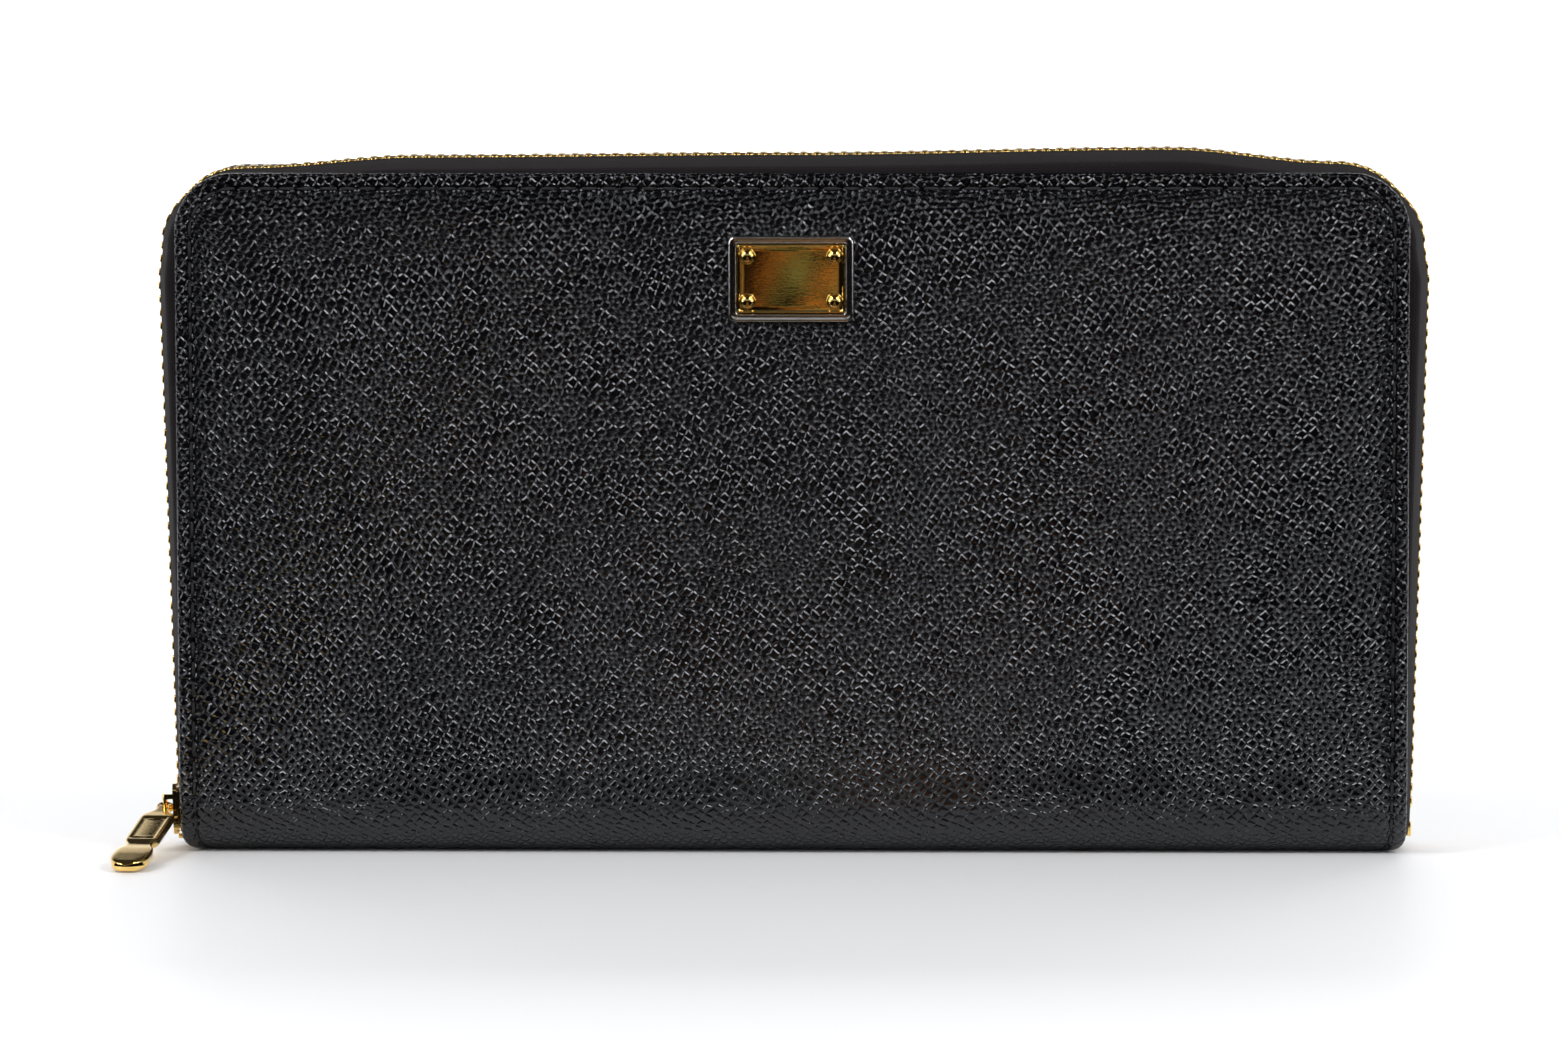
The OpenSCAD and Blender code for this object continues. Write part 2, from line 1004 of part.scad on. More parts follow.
module back_right_gusset() {
    color(lining_colour)
        on_back()
            mirror([1, 0, 0])
                gusset();
}

front_leather();
front_padding();
front_board();
front_lining();
front_stitching();
front_zip_tape();
front_zip_teeth();
front_slip_pocket();
front_card_slot(1);  // front_card_slot_1
front_card_slot(2);  // front_card_slot_2
front_card_slot(3);  // front_card_slot_3
front_card_slot(4);  // front_card_slot_4
back_leather();
back_padding();
back_board();
back_lining();
back_stitching();
back_zip_tape();
back_zip_teeth();
back_slip_pocket();
back_card_slot(1);  // back_card_slot_1
back_card_slot(2);  // back_card_slot_2
back_card_slot(3);  // back_card_slot_3
back_card_slot(4);  // back_card_slot_4
spine_leather();
spine_board();
spine_lining();
spine_stitching();
front_zip_tape_ends();
back_zip_tape_ends();
zip_end_teeth();
zip_top_stops();
zip_bottom_stop();
plaque_frame();
plaque_plate();
plaque_screws();
plaque_backplate();
pouch_front_wall();
pouch_back_wall();
pouch_binding();
pouch_front_tape();
pouch_back_tape();
pouch_front_teeth();
pouch_back_teeth();
pouch_zip_stops();
front_left_gusset();
front_right_gusset();
back_left_gusset();
back_right_gusset();
zip_slider();
zip_pull();
pouch_slider();
pouch_pull();
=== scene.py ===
"""Zip around wallet: what is seen of it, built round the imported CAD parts.

Lengths are in millimetres and angles in degrees. They become metres when a mesh is made.
The frame is the CAD frame: X along the width, the front cover faces -Y, Z up.
"""

import json
import math

import bmesh
import bpy
import numpy as np
from mathutils import Matrix, Vector


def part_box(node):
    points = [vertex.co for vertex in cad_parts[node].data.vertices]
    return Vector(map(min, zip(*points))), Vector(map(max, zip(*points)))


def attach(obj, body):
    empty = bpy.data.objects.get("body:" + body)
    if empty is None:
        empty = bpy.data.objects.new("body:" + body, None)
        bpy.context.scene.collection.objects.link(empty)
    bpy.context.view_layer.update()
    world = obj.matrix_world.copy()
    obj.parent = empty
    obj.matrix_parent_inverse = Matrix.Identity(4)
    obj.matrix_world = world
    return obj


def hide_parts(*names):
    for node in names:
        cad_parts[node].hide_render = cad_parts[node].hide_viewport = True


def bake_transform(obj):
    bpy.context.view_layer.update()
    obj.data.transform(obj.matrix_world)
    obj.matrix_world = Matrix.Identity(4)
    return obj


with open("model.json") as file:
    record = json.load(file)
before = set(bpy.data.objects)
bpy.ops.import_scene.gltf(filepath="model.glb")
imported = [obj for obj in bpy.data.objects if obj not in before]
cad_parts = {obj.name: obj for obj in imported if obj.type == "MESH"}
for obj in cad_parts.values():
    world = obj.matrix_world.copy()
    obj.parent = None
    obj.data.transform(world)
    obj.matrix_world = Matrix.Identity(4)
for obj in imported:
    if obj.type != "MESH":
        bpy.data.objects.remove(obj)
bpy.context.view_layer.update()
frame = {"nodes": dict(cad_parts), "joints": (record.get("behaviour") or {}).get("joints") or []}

MM = 0.001
SIDE_NAME = {-1: "front", 1: "back"}


def box_mm(node):
    """The low and high corners of a CAD part's box, in millimetres."""
    return [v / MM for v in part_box(node)]


# ---- Sizes taken from the CAD parts ----

cover_low, cover_high = box_mm("front_leather")
HALF_W = cover_high.x
PANEL_TOP = cover_high.z
HALF_T = -cover_low.y
FOLD_Z = cover_low.z
plate_low, plate_high = box_mm("plaque_plate")
frame_low, frame_high = box_mm("plaque_frame")

# ---- Section of the case: flat base, curved spine, straight cover with a turned hem ----

BASE_HALF = 3.0
BEND_Y = HALF_T - BASE_HALF
BEND_Z = 13.5
CORNER_R = 9.0
LEATHER_T = 1.0
HEM_W = 8.5
COVER_EDGE_T = 2.0
SPINE_EDGE_T = 1.3
GROOVE_IN = 2.35
CLOTH_T = 0.3

# ---- Path of the main zip: how far it stands out from the panels' outline ----

ZIP_CORNER_R = 11.0
ZIP_FOOT_OUT = 0.3
ZIP_LEAN = math.tan(math.radians(1.6))
ZIP_SLIDE_TOP = 89.0
ZIP_LEFT_TURN_IN = 0.7
ZIP_RIGHT_TURN_IN = 0.9
ZIP_TURN_OUT = 0.6
ZIP_LEFT_CORNER_OUT = -0.2
ZIP_RIGHT_CORNER_OUT = 0.45
ZIP_LEFT_SHOULDER_OUT = 1.45
ZIP_RIGHT_SHOULDER_OUT = 2.65
ZIP_TOP_OUT = 1.85
FLANGE_Y = -(HALF_T - COVER_EDGE_T - 0.1)
TOOTH_STEP = 2.1
TOOTH_BASE = 2.3
TOOTH_REACH = 0.55


# ---- mesh helpers ----


def smoothstep(low, high, value):
    t = np.clip((np.asarray(value, float) - low) / (high - low), 0, 1)
    return t * t * (3 - 2 * t)


def place_object(name, data):
    obj = bpy.data.objects.new(name, data)
    bpy.context.scene.collection.objects.link(obj)
    return obj


def mesh_object(name, mesh, material, smooth=True):
    mesh.polygons.foreach_set("use_smooth", [smooth] * len(mesh.polygons))
    mesh.materials.append(material)
    return place_object(name, mesh)


def new_object(name, points, faces, material, uv=None, smooth=True):
    """A mesh object from points in millimetres. uv holds one pair per point, in millimetres too."""
    mesh = bpy.data.meshes.new(name)
    mesh.from_pydata([tuple(p) for p in np.asarray(points, float) * MM], [], faces)
    if uv is not None:
        layer = mesh.uv_layers.new(name="grain")
        corner = np.empty(len(mesh.loops), int)
        mesh.loops.foreach_get("vertex_index", corner)
        layer.data.foreach_set("uv", (np.asarray(uv, float)[corner] * MM).ravel())
    bm = bmesh.new()
    bm.from_mesh(mesh)
    bmesh.ops.recalc_face_normals(bm, faces=bm.faces)
    bm.to_mesh(mesh)
    bm.free()
    return mesh_object(name, mesh, material, smooth)


def joined(parts):
    """Several (points, faces, uv) lists as one."""
    points, faces, uv, start = [], [], [], 0
    for part_points, part_faces, part_uv in parts:
        points.append(part_points)
        uv.append(part_uv)
        faces += [tuple(i + start for i in face) for face in part_faces]
        start += len(part_points)
    return np.concatenate(points), faces, np.concatenate(uv)


def object_of(name, parts, material):
    """One mesh object from several (points, faces, uv) lists."""
    points, faces, uv = joined(parts)
    return new_object(name, points, faces, material, uv)


def run_lengths(points):
    """Distance of each point from the first, along the line through them."""
    steps = np.linalg.norm(np.diff(points, axis=0), axis=1)
    return np.concatenate(([0], np.cumsum(steps)))


def ring_angles(count):
    """Angles of evenly spaced points round a circle."""
    return [2 * math.pi * k / count for k in range(count)]


def strip_faces(first, second, closed=False):
    """Quads between two rows of point numbers. A repeated number makes a triangle, or nothing."""
    faces = []
    count = len(first)
    for i in range(count if closed else count - 1):
        j = (i + 1) % count
        face = []
        for index in (first[i], first[j], second[j], second[i]):
            if index not in face:
                face.append(index)
        if len(face) > 2:
            faces.append(tuple(face))
    return faces


def loft_faces(rings, count, capped=True):
    """Quads between closed rings of count points each, and one face over each end."""
    faces = []
    for start in range(0, (rings - 1) * count, count):
        row = range(start, start + count)
        faces += strip_faces(row, [i + count for i in row], closed=True)
    if capped:
        faces += [tuple(range(count)), tuple(range((rings - 1) * count, rings * count))]
    return faces


def mount(obj, slot_name, body, *nodes):
    """A rigid piece: the body it moves with, and the CAD parts it stands for. slot_name, its material
    slot, is not used.
    """
    if nodes:
        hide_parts(*nodes)
    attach(obj, body)


def mount_bent(obj, slot_name, name, *nodes):
    """A piece that lies bent over the fold between a cover and the spine, its transform baked into its
    points.
    """
    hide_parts(*nodes)
    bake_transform(obj)


def mount_metal(obj, slot_name, body, node):
    keep_flats(obj)
    mount(obj, slot_name, body, node)


def softened_node(node, radius, material, slot_name, body, name=None):
    """A CAD part with its sharp edges rounded, in place of the part itself."""
    name = name or node + "_soft"
    bm = bmesh.new()
    bm.from_mesh(frame["nodes"][node].data)
    bmesh.ops.remove_doubles(bm, verts=bm.verts, dist=1e-6)
    bmesh.ops.dissolve_limit(bm, angle_limit=math.radians(1), verts=bm.verts, edges=bm.edges)
    least = math.radians(35)
    sharp = [e for e in bm.edges if len(e.link_faces) == 2 and e.calc_face_angle(0) > least]
    rounding = {"offset": radius * MM, "segments": 3, "profile": 0.5, "clamp_overlap": True}
    bmesh.ops.bevel(bm, geom=sharp, affect="EDGES", **rounding)
    mesh = bpy.data.meshes.new(name)
    bm.to_mesh(mesh)
    bm.free()
    obj = mesh_object(name, mesh, material)
    mount_metal(obj, slot_name, body, node)
    return obj


def keep_flats(obj):
    """Flat faces stay flat beside the rounded edges."""
    normals = obj.modifiers.new("flats", "WEIGHTED_NORMAL")
    normals.keep_sharp = True
    normals.weight = 90


# ---- materials ----


class Nodes:
    """The node tree of a material or a world, with short calls for adding and joining nodes."""

    def __init__(self, owner, kind):
        owner.use_nodes = True
        self.tree = owner.node_tree
        self.tree.nodes.clear()
        self.output = self.tree.nodes.new("ShaderNodeOutput" + kind)

    def put(self, socket, value):
        if isinstance(value, bpy.types.NodeSocket):
            self.tree.links.new(value, socket)
        else:
            socket.default_value = value

    def add(self, kind, inputs=(), output=0, **settings):
        made = self.tree.nodes.new("ShaderNode" + kind)
        for name, value in settings.items():
            setattr(made, name, value)
        for key, value in dict(inputs).items():
            self.put(made.inputs[key], value)
        return made.outputs[output]

    def show(self, surface):
        self.put(self.output.inputs["Surface"], surface)


class Shader(Nodes):
    """A material, with short calls for the sums and textures it needs."""

    def __init__(self, name):
        self.material = bpy.data.materials.new(name)
        super().__init__(self.material, "Material")

    def finish(self, **values):
        """The material, from a Principled surface's inputs, with _ for a space in their names."""
        inputs = {name.replace("_", " "): value for name, value in values.items()}
        self.show(self.add("BsdfPrincipled", inputs))
        return self.material

    def math(self, operation, a, b=0.0):
        return self.add("Math", {0: a, 1: b}, operation=operation)

    def scaled(self, value, factor):
        return self.math("MULTIPLY", value, factor)

    def vector(self, operation, a, b):
        return self.add("VectorMath", {0: a, 1: b}, operation=operation)

    def split(self, vector):
        """The X and Y of a vector."""
        x = self.add("SeparateXYZ", {0: vector})
        return x, x.node.outputs[1]

    def wave(self, value, pitch):
        return self.math("SINE", self.scaled(value, 2 * math.pi / pitch))

    def mix(self, factor, a, b):
        """Between two colours."""
        inputs = {"Factor": factor, 6: a, 7: b}
        return self.add("Mix", inputs, output=2, data_type="RGBA")

    def ramp(self, value, low, high, out_low=0.0, out_high=1.0):
        source = {"Value": value, "From Min": low, "From Max": high}
        inputs = {**source, "To Min": out_low, "To Max": out_high}
        return self.add("MapRange", inputs, interpolation_type="SMOOTHSTEP")

    def noise(self, vector, scale, detail=2.0, output=0):
        return self.add("TexNoise", {"Vector": vector, "Scale": scale, "Detail": detail}, output)

    def voronoi(self, inputs, feature="F1", output=0, **settings):
        return self.add("TexVoronoi", inputs, output, feature=feature, **settings)

    def millimetres(self, by_uv=True):
        """Texture coordinates in millimetres: along the material, or in the object's own space."""
        place = self.add("UVMap", uv_map="grain") if by_uv else self.add("TexCoord", output=3)
        return self.vector("MULTIPLY", place, (1 / MM,) * 3)

    def bump(self, height, depth_mm):
        return self.add("Bump", {"Height": height, "Distance": depth_mm * MM})


GRAIN_TURN = 36.0


def pebble_height(sh, place, pitch):
    """Domed grains in crossing diagonal rows. Returns their height and the creases between them."""
    for scale, reach in ((0.05, 4.0), (0.5, 0.55)):
        drift = sh.vector("SUBTRACT", sh.noise(place, scale, 1.0, output=1), (0.5,) * 3)
        place = sh.vector("ADD", place, sh.vector("MULTIPLY", drift, (reach, reach, 0)))
    turn = (0, 0, math.radians(GRAIN_TURN))
    turned = sh.add("Mapping", {"Vector": place, "Rotation": turn}, vector_type="POINT")
    cell = {"Vector": turned, "Scale": 1 / pitch, "Randomness": 0.38}
    crease = sh.voronoi(cell, "DISTANCE_TO_EDGE", voronoi_dimensions="2D")
    centre = sh.voronoi(cell, voronoi_dimensions="2D")
    chance = sh.voronoi(cell, output=1, voronoi_dimensions="2D")
    lift = sh.add("SeparateColor", {0: chance})
    edge = sh.ramp(crease, 0.0, 0.28)
    dome = sh.math("SUBTRACT", 1.0, sh.scaled(sh.math("MULTIPLY", centre, centre), 2.2))
    shape = sh.math("ADD", sh.scaled(edge, 0.6), sh.scaled(dome, 0.4))
    return sh.math("MULTIPLY", shape, sh.ramp(lift, 0.0, 1.0, 0.7, 1.0)), edge


def pebbled_leather(name, pitch=1.2, depth=0.34):
    sh = Shader(name)
    place = sh.millimetres()
    height, edge = pebble_height(sh, place, pitch)
    fine = sh.noise(place, 5.0)
    patch = sh.noise(place, 0.05, 3.0)
    # Painted shade: the creases between the grains get a darker base colour for the shade that falls in
    # them.
    crease_shade = (0.0003, 0.0003, 0.0004, 1)
    grain = (0.0012, 0.0012, 0.0019, 1)
    worn = (0.0018, 0.0018, 0.0026, 1)
    gloss = sh.math("ADD", sh.ramp(fine, 0.3, 0.7, 0.14, 0.18), sh.ramp(patch, 0.3, 0.7, 0.0, 0.02))
    return sh.finish(
        Base_Color=sh.mix(edge, crease_shade, sh.mix(sh.ramp(patch, 0.35, 0.7), grain, worn)),
        Roughness=gloss,
        Specular_IOR_Level=0.6,
        Specular_Tint=(0.92, 0.94, 1.0, 1),
        Normal=sh.bump(sh.math("ADD", height, sh.scaled(fine, 0.03)), depth),
    )


def pocket_leather(name, by_uv=False):
    """Smooth split leather with a fine hair-cell grain."""
    sh = Shader(name)
    place = sh.millimetres(by_uv)
    crease = sh.voronoi({"Vector": place, "Scale": 2.6, "Randomness": 1.0}, "DISTANCE_TO_EDGE")
    tone = sh.noise(place, 0.12, 3.0)
    return sh.finish(
        Base_Color=sh.mix(sh.ramp(tone, 0.3, 0.7), (0.011, 0.0105, 0.011, 1), (0.018, 0.017, 0.018, 1)),
        Roughness=sh.ramp(tone, 0.3, 0.7, 0.42, 0.55),
        Specular_IOR_Level=0.4,
        Normal=sh.bump(sh.ramp(crease, 0.0, 0.2), 0.03),
    )


def woven_lining(name):
    sh = Shader(name)
    place = sh.millimetres()
    x, y = sh.split(place)
    crossing = sh.math("MULTIPLY", sh.wave(x, 0.7), sh.wave(y, 0.55))
    weave = sh.math("ADD", sh.scaled(crossing, 0.5), 0.5)
    height = sh.math("ADD", weave, sh.scaled(sh.noise(place, 5.0), 0.3))
    return sh.finish(
        Base_Color=sh.mix(weave, (0.012, 0.011, 0.011, 1), (0.03, 0.027, 0.026, 1)),
        Roughness=sh.ramp(sh.noise(place, 0.2, 3.0), 0.3, 0.7, 0.62, 0.78),
        Sheen_Weight=0.25,
        Sheen_Roughness=0.5,
        Normal=sh.bump(height, 0.07),
    )


def herringbone_tape(name, by_uv=True):
    """Woven polyester tape: yarns lean one way and then the other, in bands along its length."""
    sh = Shader(name)
    place = sh.millimetres(by_uv)
    along, across = sh.split(place)
    yarn = sh.wave(sh.math("ADD", along, sh.math("PINGPONG", across, 1.2)), 0.55)
    height = sh.math("ADD", sh.scaled(yarn, 0.35), sh.scaled(sh.wave(across, 0.4), 0.15))
    height = sh.math("ADD", height, sh.scaled(sh.noise(place, 6.0), 0.4))
    light = sh.ramp(height, -0.3, 0.7)
    return sh.finish(
        Base_Color=sh.mix(light, (0.0042, 0.0031, 0.0035, 1), (0.0130, 0.0098, 0.0112, 1)),
        Roughness=0.8,
        Specular_IOR_Level=0.2,
        Sheen_Weight=0.03,
        Sheen_Roughness=0.45,
        Normal=sh.bump(height, 0.10),
    )


def waxed_thread(name):
    sh = Shader(name)
    along, across = sh.split(sh.millimetres())
    twist = sh.wave(sh.math("ADD", along, across), 0.45)
    colour = sh.mix(sh.ramp(twist, -1, 1), (0.006, 0.006, 0.007, 1), (0.02, 0.02, 0.022, 1))
    return sh.finish(Base_Color=colour, Roughness=0.5, Normal=sh.bump(twist, 0.05))


def polished_metal(name, colour, roughness, scratch=0.006, tint=0.06, haze=0.08):
    """Plated metal with faint hairlines and slight changes of tone."""
    sh = Shader(name)
    place = sh.millimetres(by_uv=False)
    tone = sh.ramp(sh.noise(place, 0.4), 0.3, 0.7)
    hair = sh.noise(sh.vector("MULTIPLY", place, (0.6, 9.0, 3.0)), 1.5, 3.0)
    dark = tuple(c * (1 - tint) for c in colour)
    return sh.finish(
        Base_Color=sh.mix(tone, dark + (1,), colour + (1,)),
        Metallic=1.0,
        Roughness=sh.ramp(hair, 0.35, 0.75, roughness, roughness + haze),
        Normal=sh.bump(hair, scratch),
    )


def fibre_board(name):
    sh = Shader(name)
    place = sh.millimetres(by_uv=False)
    fibre = sh.noise(sh.vector("MULTIPLY", place, (0.7, 3.0, 3.0)), 2.2, 4.0)
    return sh.finish(
        Base_Color=sh.mix(fibre, (0.16, 0.12, 0.08, 1), (0.30, 0.24, 0.17, 1)),
        Roughness=0.85,
        Normal=sh.bump(fibre, 0.06),
    )


def foam_padding(name):
    sh = Shader(name)
    cell = sh.voronoi({"Vector": sh.millimetres(by_uv=False), "Scale": 2.5})
    return sh.finish(
        Base_Color=sh.mix(cell, (0.02, 0.02, 0.02, 1), (0.06, 0.06, 0.06, 1)),
        Roughness=0.9,
        Normal=sh.bump(cell, 0.1),
    )


GOLD = (0.95, 0.66, 0.22)
NICKEL = (0.66, 0.65, 0.64)

outer = pebbled_leather("outer_leather")
inner = pocket_leather("pocket_leather")
inner_uv = pocket_leather("gusset_leather", by_uv=True)
lining = woven_lining("lining")
tape = herringbone_tape("zip_tape")
tape_plain = herringbone_tape("pouch_zip_tape", by_uv=False)
thread = waxed_thread("thread")
gold = polished_metal("gold_metal", GOLD, 0.07, haze=0.04)
gold_teeth = polished_metal("gold_teeth", GOLD, 0.2, scratch=0.01, tint=0.12)
gold_plate = polished_metal("gold_plate", GOLD, 0.012, scratch=0.001, tint=0.03, haze=0.01)
nickel = polished_metal("polished_steel", NICKEL, 0.1)
board = fibre_board("board")
foam = foam_padding("padding")


# ---- section of the case ----


def outer_section():
    """Run lengths, places and outward normals of the outer face, from the base to a cover's top."""
    turn = np.linspace(0, math.pi / 2, 160)
    y = -(BASE_HALF + BEND_Y * np.sin(turn))
    z = BEND_Z * (1 - np.cos(turn))
    ty, tz = -BEND_Y * np.cos(turn), BEND_Z * np.sin(turn)
    length = np.hypot(ty, tz)
    y = np.concatenate(([0.0], y, [-HALF_T]))
    z = np.concatenate(([0.0], z, [PANEL_TOP]))
    ny = np.concatenate(([0.0], -tz / length, [-1.0]))
    nz = np.concatenate(([-1.0], ty / length, [0.0]))
    run = np.concatenate(([0.0], np.cumsum(np.hypot(np.diff(y), np.diff(z)))))
    return run, y, z, ny, nz


RUN, SEC_Y, SEC_Z, SEC_NY, SEC_NZ = outer_section()
S_TOP = RUN[-1]
S_BEND = RUN[-2]


def height_at(s):
    """Height above the base of a place on the outer face."""
    return np.interp(s, RUN, SEC_Z)


def run_at(z):
    return float(np.interp(z, SEC_Z[1:], RUN[1:]))


FOOT_TUCK = 2.2
FOOT_TUCK_Z = 2.6


def foot_tuck(x, z):
    """The case's lower corners are rounded: how far a point near an end moves inwards."""
    low = np.clip((FOOT_TUCK_Z - z) / FOOT_TUCK_Z, 0, 1)
    amount = FOOT_TUCK * (1 - np.sqrt(1 - low * low))
    return np.sign(x) * amount * smoothstep(HALF_W - 14, HALF_W, np.abs(x))


def on_case(x, s, out, side):
    """Place of material coordinates (x, s), raised by out along the outward normal.
    side is -1 for the front, 1 for the back."""
    x, s, out = np.broadcast_arrays(*(np.asarray(v, float) for v in (x, s, out)))
    above = np.maximum(s - S_TOP, 0)
    y = np.interp(s, RUN, SEC_Y)
    z = np.interp(s, RUN, SEC_Z) + above
    ny, nz = np.interp(s, RUN, SEC_NY), np.interp(s, RUN, SEC_NZ)
    size = np.hypot(ny, nz)
    x = x - foot_tuck(x, z)
    return np.stack([x, (y + out * ny / size) * -side, z + out * nz / size], -1)


# ---- sheets with two round corners ----

PANEL_STEP = 2.6
ARC_STEPS = 12


def panel_stations(half_w, corner_r, top):
    """Where a panel's rows and columns lie: run lengths up the side, and places along the top."""
    bend = np.linspace(0, S_BEND + 4, 22)
    straight = np.arange(S_BEND + 4 + PANEL_STEP, top - corner_r, PANEL_STEP)
    side = np.concatenate([bend, straight, [top - corner_r]])
    inner_half = half_w - corner_r
    columns = np.linspace(-inner_half, inner_half, int(2 * inner_half / PANEL_STEP) + 1)
    return side, columns


def panel_loop(half_w, corner_r, top, inset, side, columns):
    """The panel's outline drawn in by inset: one row of (x, s) from the left foot to the right foot."""
    angles = np.radians(np.linspace(180, 90, ARC_STEPS + 1))[1:-1]
    r = max(corner_r - inset, 0)
    cx, cs = half_w - corner_r, top - corner_r
    left = np.stack([np.full(len(side), -(half_w - inset)), side], -1)
    arc = np.stack([-cx + r * np.cos(angles), cs + r * np.sin(angles)], -1)
    upper = np.stack([columns, np.full(len(columns), top - inset)], -1)
    return np.concatenate([left, arc, upper, arc[::-1] * (-1, 1), left[::-1] * (-1, 1)])


def panel_grid(side, columns, start):
    """The panel's middle as a grid: its (x, s) points, quads, and outline in panel_loop's order."""
    x, s = np.meshgrid(columns, side, indexing="ij")
    number = start + np.arange(x.size).reshape(x.shape)
    faces = [
        (number[i, j], number[i + 1, j], number[i + 1, j + 1], number[i, j + 1])
        for i in range(x.shape[0] - 1)
        for j in range(x.shape[1] - 1)
    ]
    corner = ARC_STEPS - 1
    left = [number[0, :], np.full(corner, number[0, -1])]
    right = [np.full(corner, number[-1, -1]), number[-1, ::-1]]
    outline = np.concatenate(left + [number[:, -1]] + right)
    return np.stack([x.ravel(), s.ravel()], -1), faces, list(outline)


def panel_sheet(half_w, corner_r, top, rings, outside, inside):
    """Material points, heights and faces of a closed sheet.
    rings are (inset, height function) from the outer middle round the edge to the inner middle.
    outside and inside are the height functions of the two middles."""
    side, columns = panel_stations(half_w, corner_r, top)
    grid, faces, previous = panel_grid(side, columns, 0)
    flat, out = [grid], [outside(grid[:, 0], grid[:, 1], None)]
    count = len(grid)
    for inset, height in rings:
        loop = panel_loop(half_w, corner_r, top, inset, side, columns)
        numbers = list(range(count, count + len(loop)))
        faces += strip_faces(previous, numbers)
        flat.append(loop)
        out.append(height(loop[:, 0], loop[:, 1], inset))
        count += len(loop)
        previous = numbers
    grid, more, outline = panel_grid(side, columns, count)
    faces += strip_faces(previous, outline) + more
    flat.append(grid)
    out.append(inside(grid[:, 0], grid[:, 1], None))
    flat = np.concatenate(flat)
    faces += foot_faces(len(columns), len(side), len(rings), count)
    return flat, np.concatenate(out), faces


def foot_faces(columns, rows, rings, second_grid):
    """Closes a sheet along its straight foot: a strip across the middle, and one face at each end."""
    outer = [i * rows for i in range(columns)]
    inner = [second_grid + i for i in outer]
    loop_length = (second_grid - columns * rows) // rings
    starts = [columns * rows + k * loop_length for k in range(rings)]
    ends = [start + loop_length - 1 for start in starts]
    left = tuple([outer[0]] + starts + [inner[0]])
    right = tuple([outer[-1]] + ends + [inner[-1]])
    return strip_faces(outer, inner) + [left, right]


# ---- outer leather ----

EDGE_R = 0.5
GROOVE_D = 0.26
PAD_RISE = 0.62
DOME_RISE = 0.45


def edge_thickness(s):
    """Thickness of the folded edge: the hem is full on the covers and pared thin round the spine."""
    return SPINE_EDGE_T + (COVER_EDGE_T - SPINE_EDGE_T) * smoothstep(8, 13, height_at(s))


def border_distance(x, s):
    return np.minimum(HALF_W - np.abs(x), S_TOP - s)


def waviness(x, s):
    """Slight unevenness of leather glued over board."""
    return 0.05 * np.sin(x / 19 + 0.6) * np.sin(s / 14 + 1.1) + 0.03 * np.sin(x / 7.3 + s / 11)


def leather_face(x, s, inset):
    """Height of the outer face over the plain section: rounded edge, stitched groove, padded middle."""
    near = border_distance(x, s) if inset is None else np.full(len(x), float(inset))
    low = np.clip((EDGE_R - near) / EDGE_R, 0, 1)
    edge = -EDGE_R * (1 - np.sqrt(1 - low * low))
    groove = -GROOVE_D * np.exp(-(((near - GROOVE_IN) / 0.3) ** 2))
    groove -= 0.12 * np.exp(-(((near - GROOVE_IN) / 1.0) ** 2))
    inner = np.maximum(near - GROOVE_IN, 0)
    on_cover = smoothstep(9.5, 16.5, height_at(s))
    padding = PAD_RISE * (1 - np.exp(-inner / 2.2))
    wide = 1 - np.exp(-np.maximum(HALF_W - np.abs(x) - 3, 0) / 22)
    tall = 1 - np.exp(-np.maximum(S_TOP - s - 3, 0) / 16)
    rest = smoothstep(4, 14, near)
    return edge + groove + on_cover * (padding + DOME_RISE * wide * tall + waviness(x, s) * rest)


def leather_inner_face(x, s, inset):
    return np.full(len(x), -LEATHER_T)


def edge_ring(extra):
    """A height function on the hem's inner face, plus extra."""
    return lambda x, s, inset: -edge_thickness(s) + extra


def leather_rings():
    """Rows across the padded edge, the groove, the rounded rim and the turned hem."""
    insets = [7.6, 6.4, 5.4, 4.6, 4.0, 3.5, 3.15, 2.9, 2.7, 2.55, 2.45, 2.35, 2.25, 2.15, 2.0]
    insets += [1.8, 1.5, 1.1, 0.75, 0.5, 0.32, 0.17, 0.06, 0.0]
    rings = [(inset, leather_face) for inset in insets]
    hem = [(0.0, 0.5), (0.08, 0.22), (0.25, 0.06), (0.5, 0)]
    hem += [(2.0, 0), (5.0, 0), (HEM_W - 0.3, 0), (HEM_W, 0.2)]
    return rings + [(inset, edge_ring(extra)) for inset, extra in hem]


def leather_uv(flat, out):
    """Grain coordinates: the sheet's own, carried on round the folded edge."""
    x, s = flat[:, 0], flat[:, 1]
    fold = np.minimum(out + EDGE_R, 0)
    return np.stack([x - np.sign(x) * fold * 0.5, s - fold * 0.5], -1)


def make_leather(side):
    name = SIDE_NAME[side]
    middles = (leather_face, leather_inner_face)
    flat, out, faces = panel_sheet(HALF_W, CORNER_R, S_TOP, leather_rings(), *middles)
    points = on_case(flat[:, 0], flat[:, 1], out, side)
    skin = new_object(name + "_leather_skin", points, faces, outer, leather_uv(flat, out))
    mount_bent(skin, "outer_leather", name, name + "_leather", "spine_leather")


# ---- stitching ----

STITCH_PITCH = 3.1
STITCH_LENGTH = 2.5
STITCH_R = 0.24
# A stitch's shape: share of its length, drop into the leather, share of its radius
STITCH_SHAPE = [(0, 0.45, 0.5), (0.1, 0.14, 0.85), (0.3, 0, 1), (0.5, -0.03, 1)]
STITCH_SHAPE += [(0.7, 0, 1), (0.9, 0.14, 0.85), (1, 0.45, 0.5)]


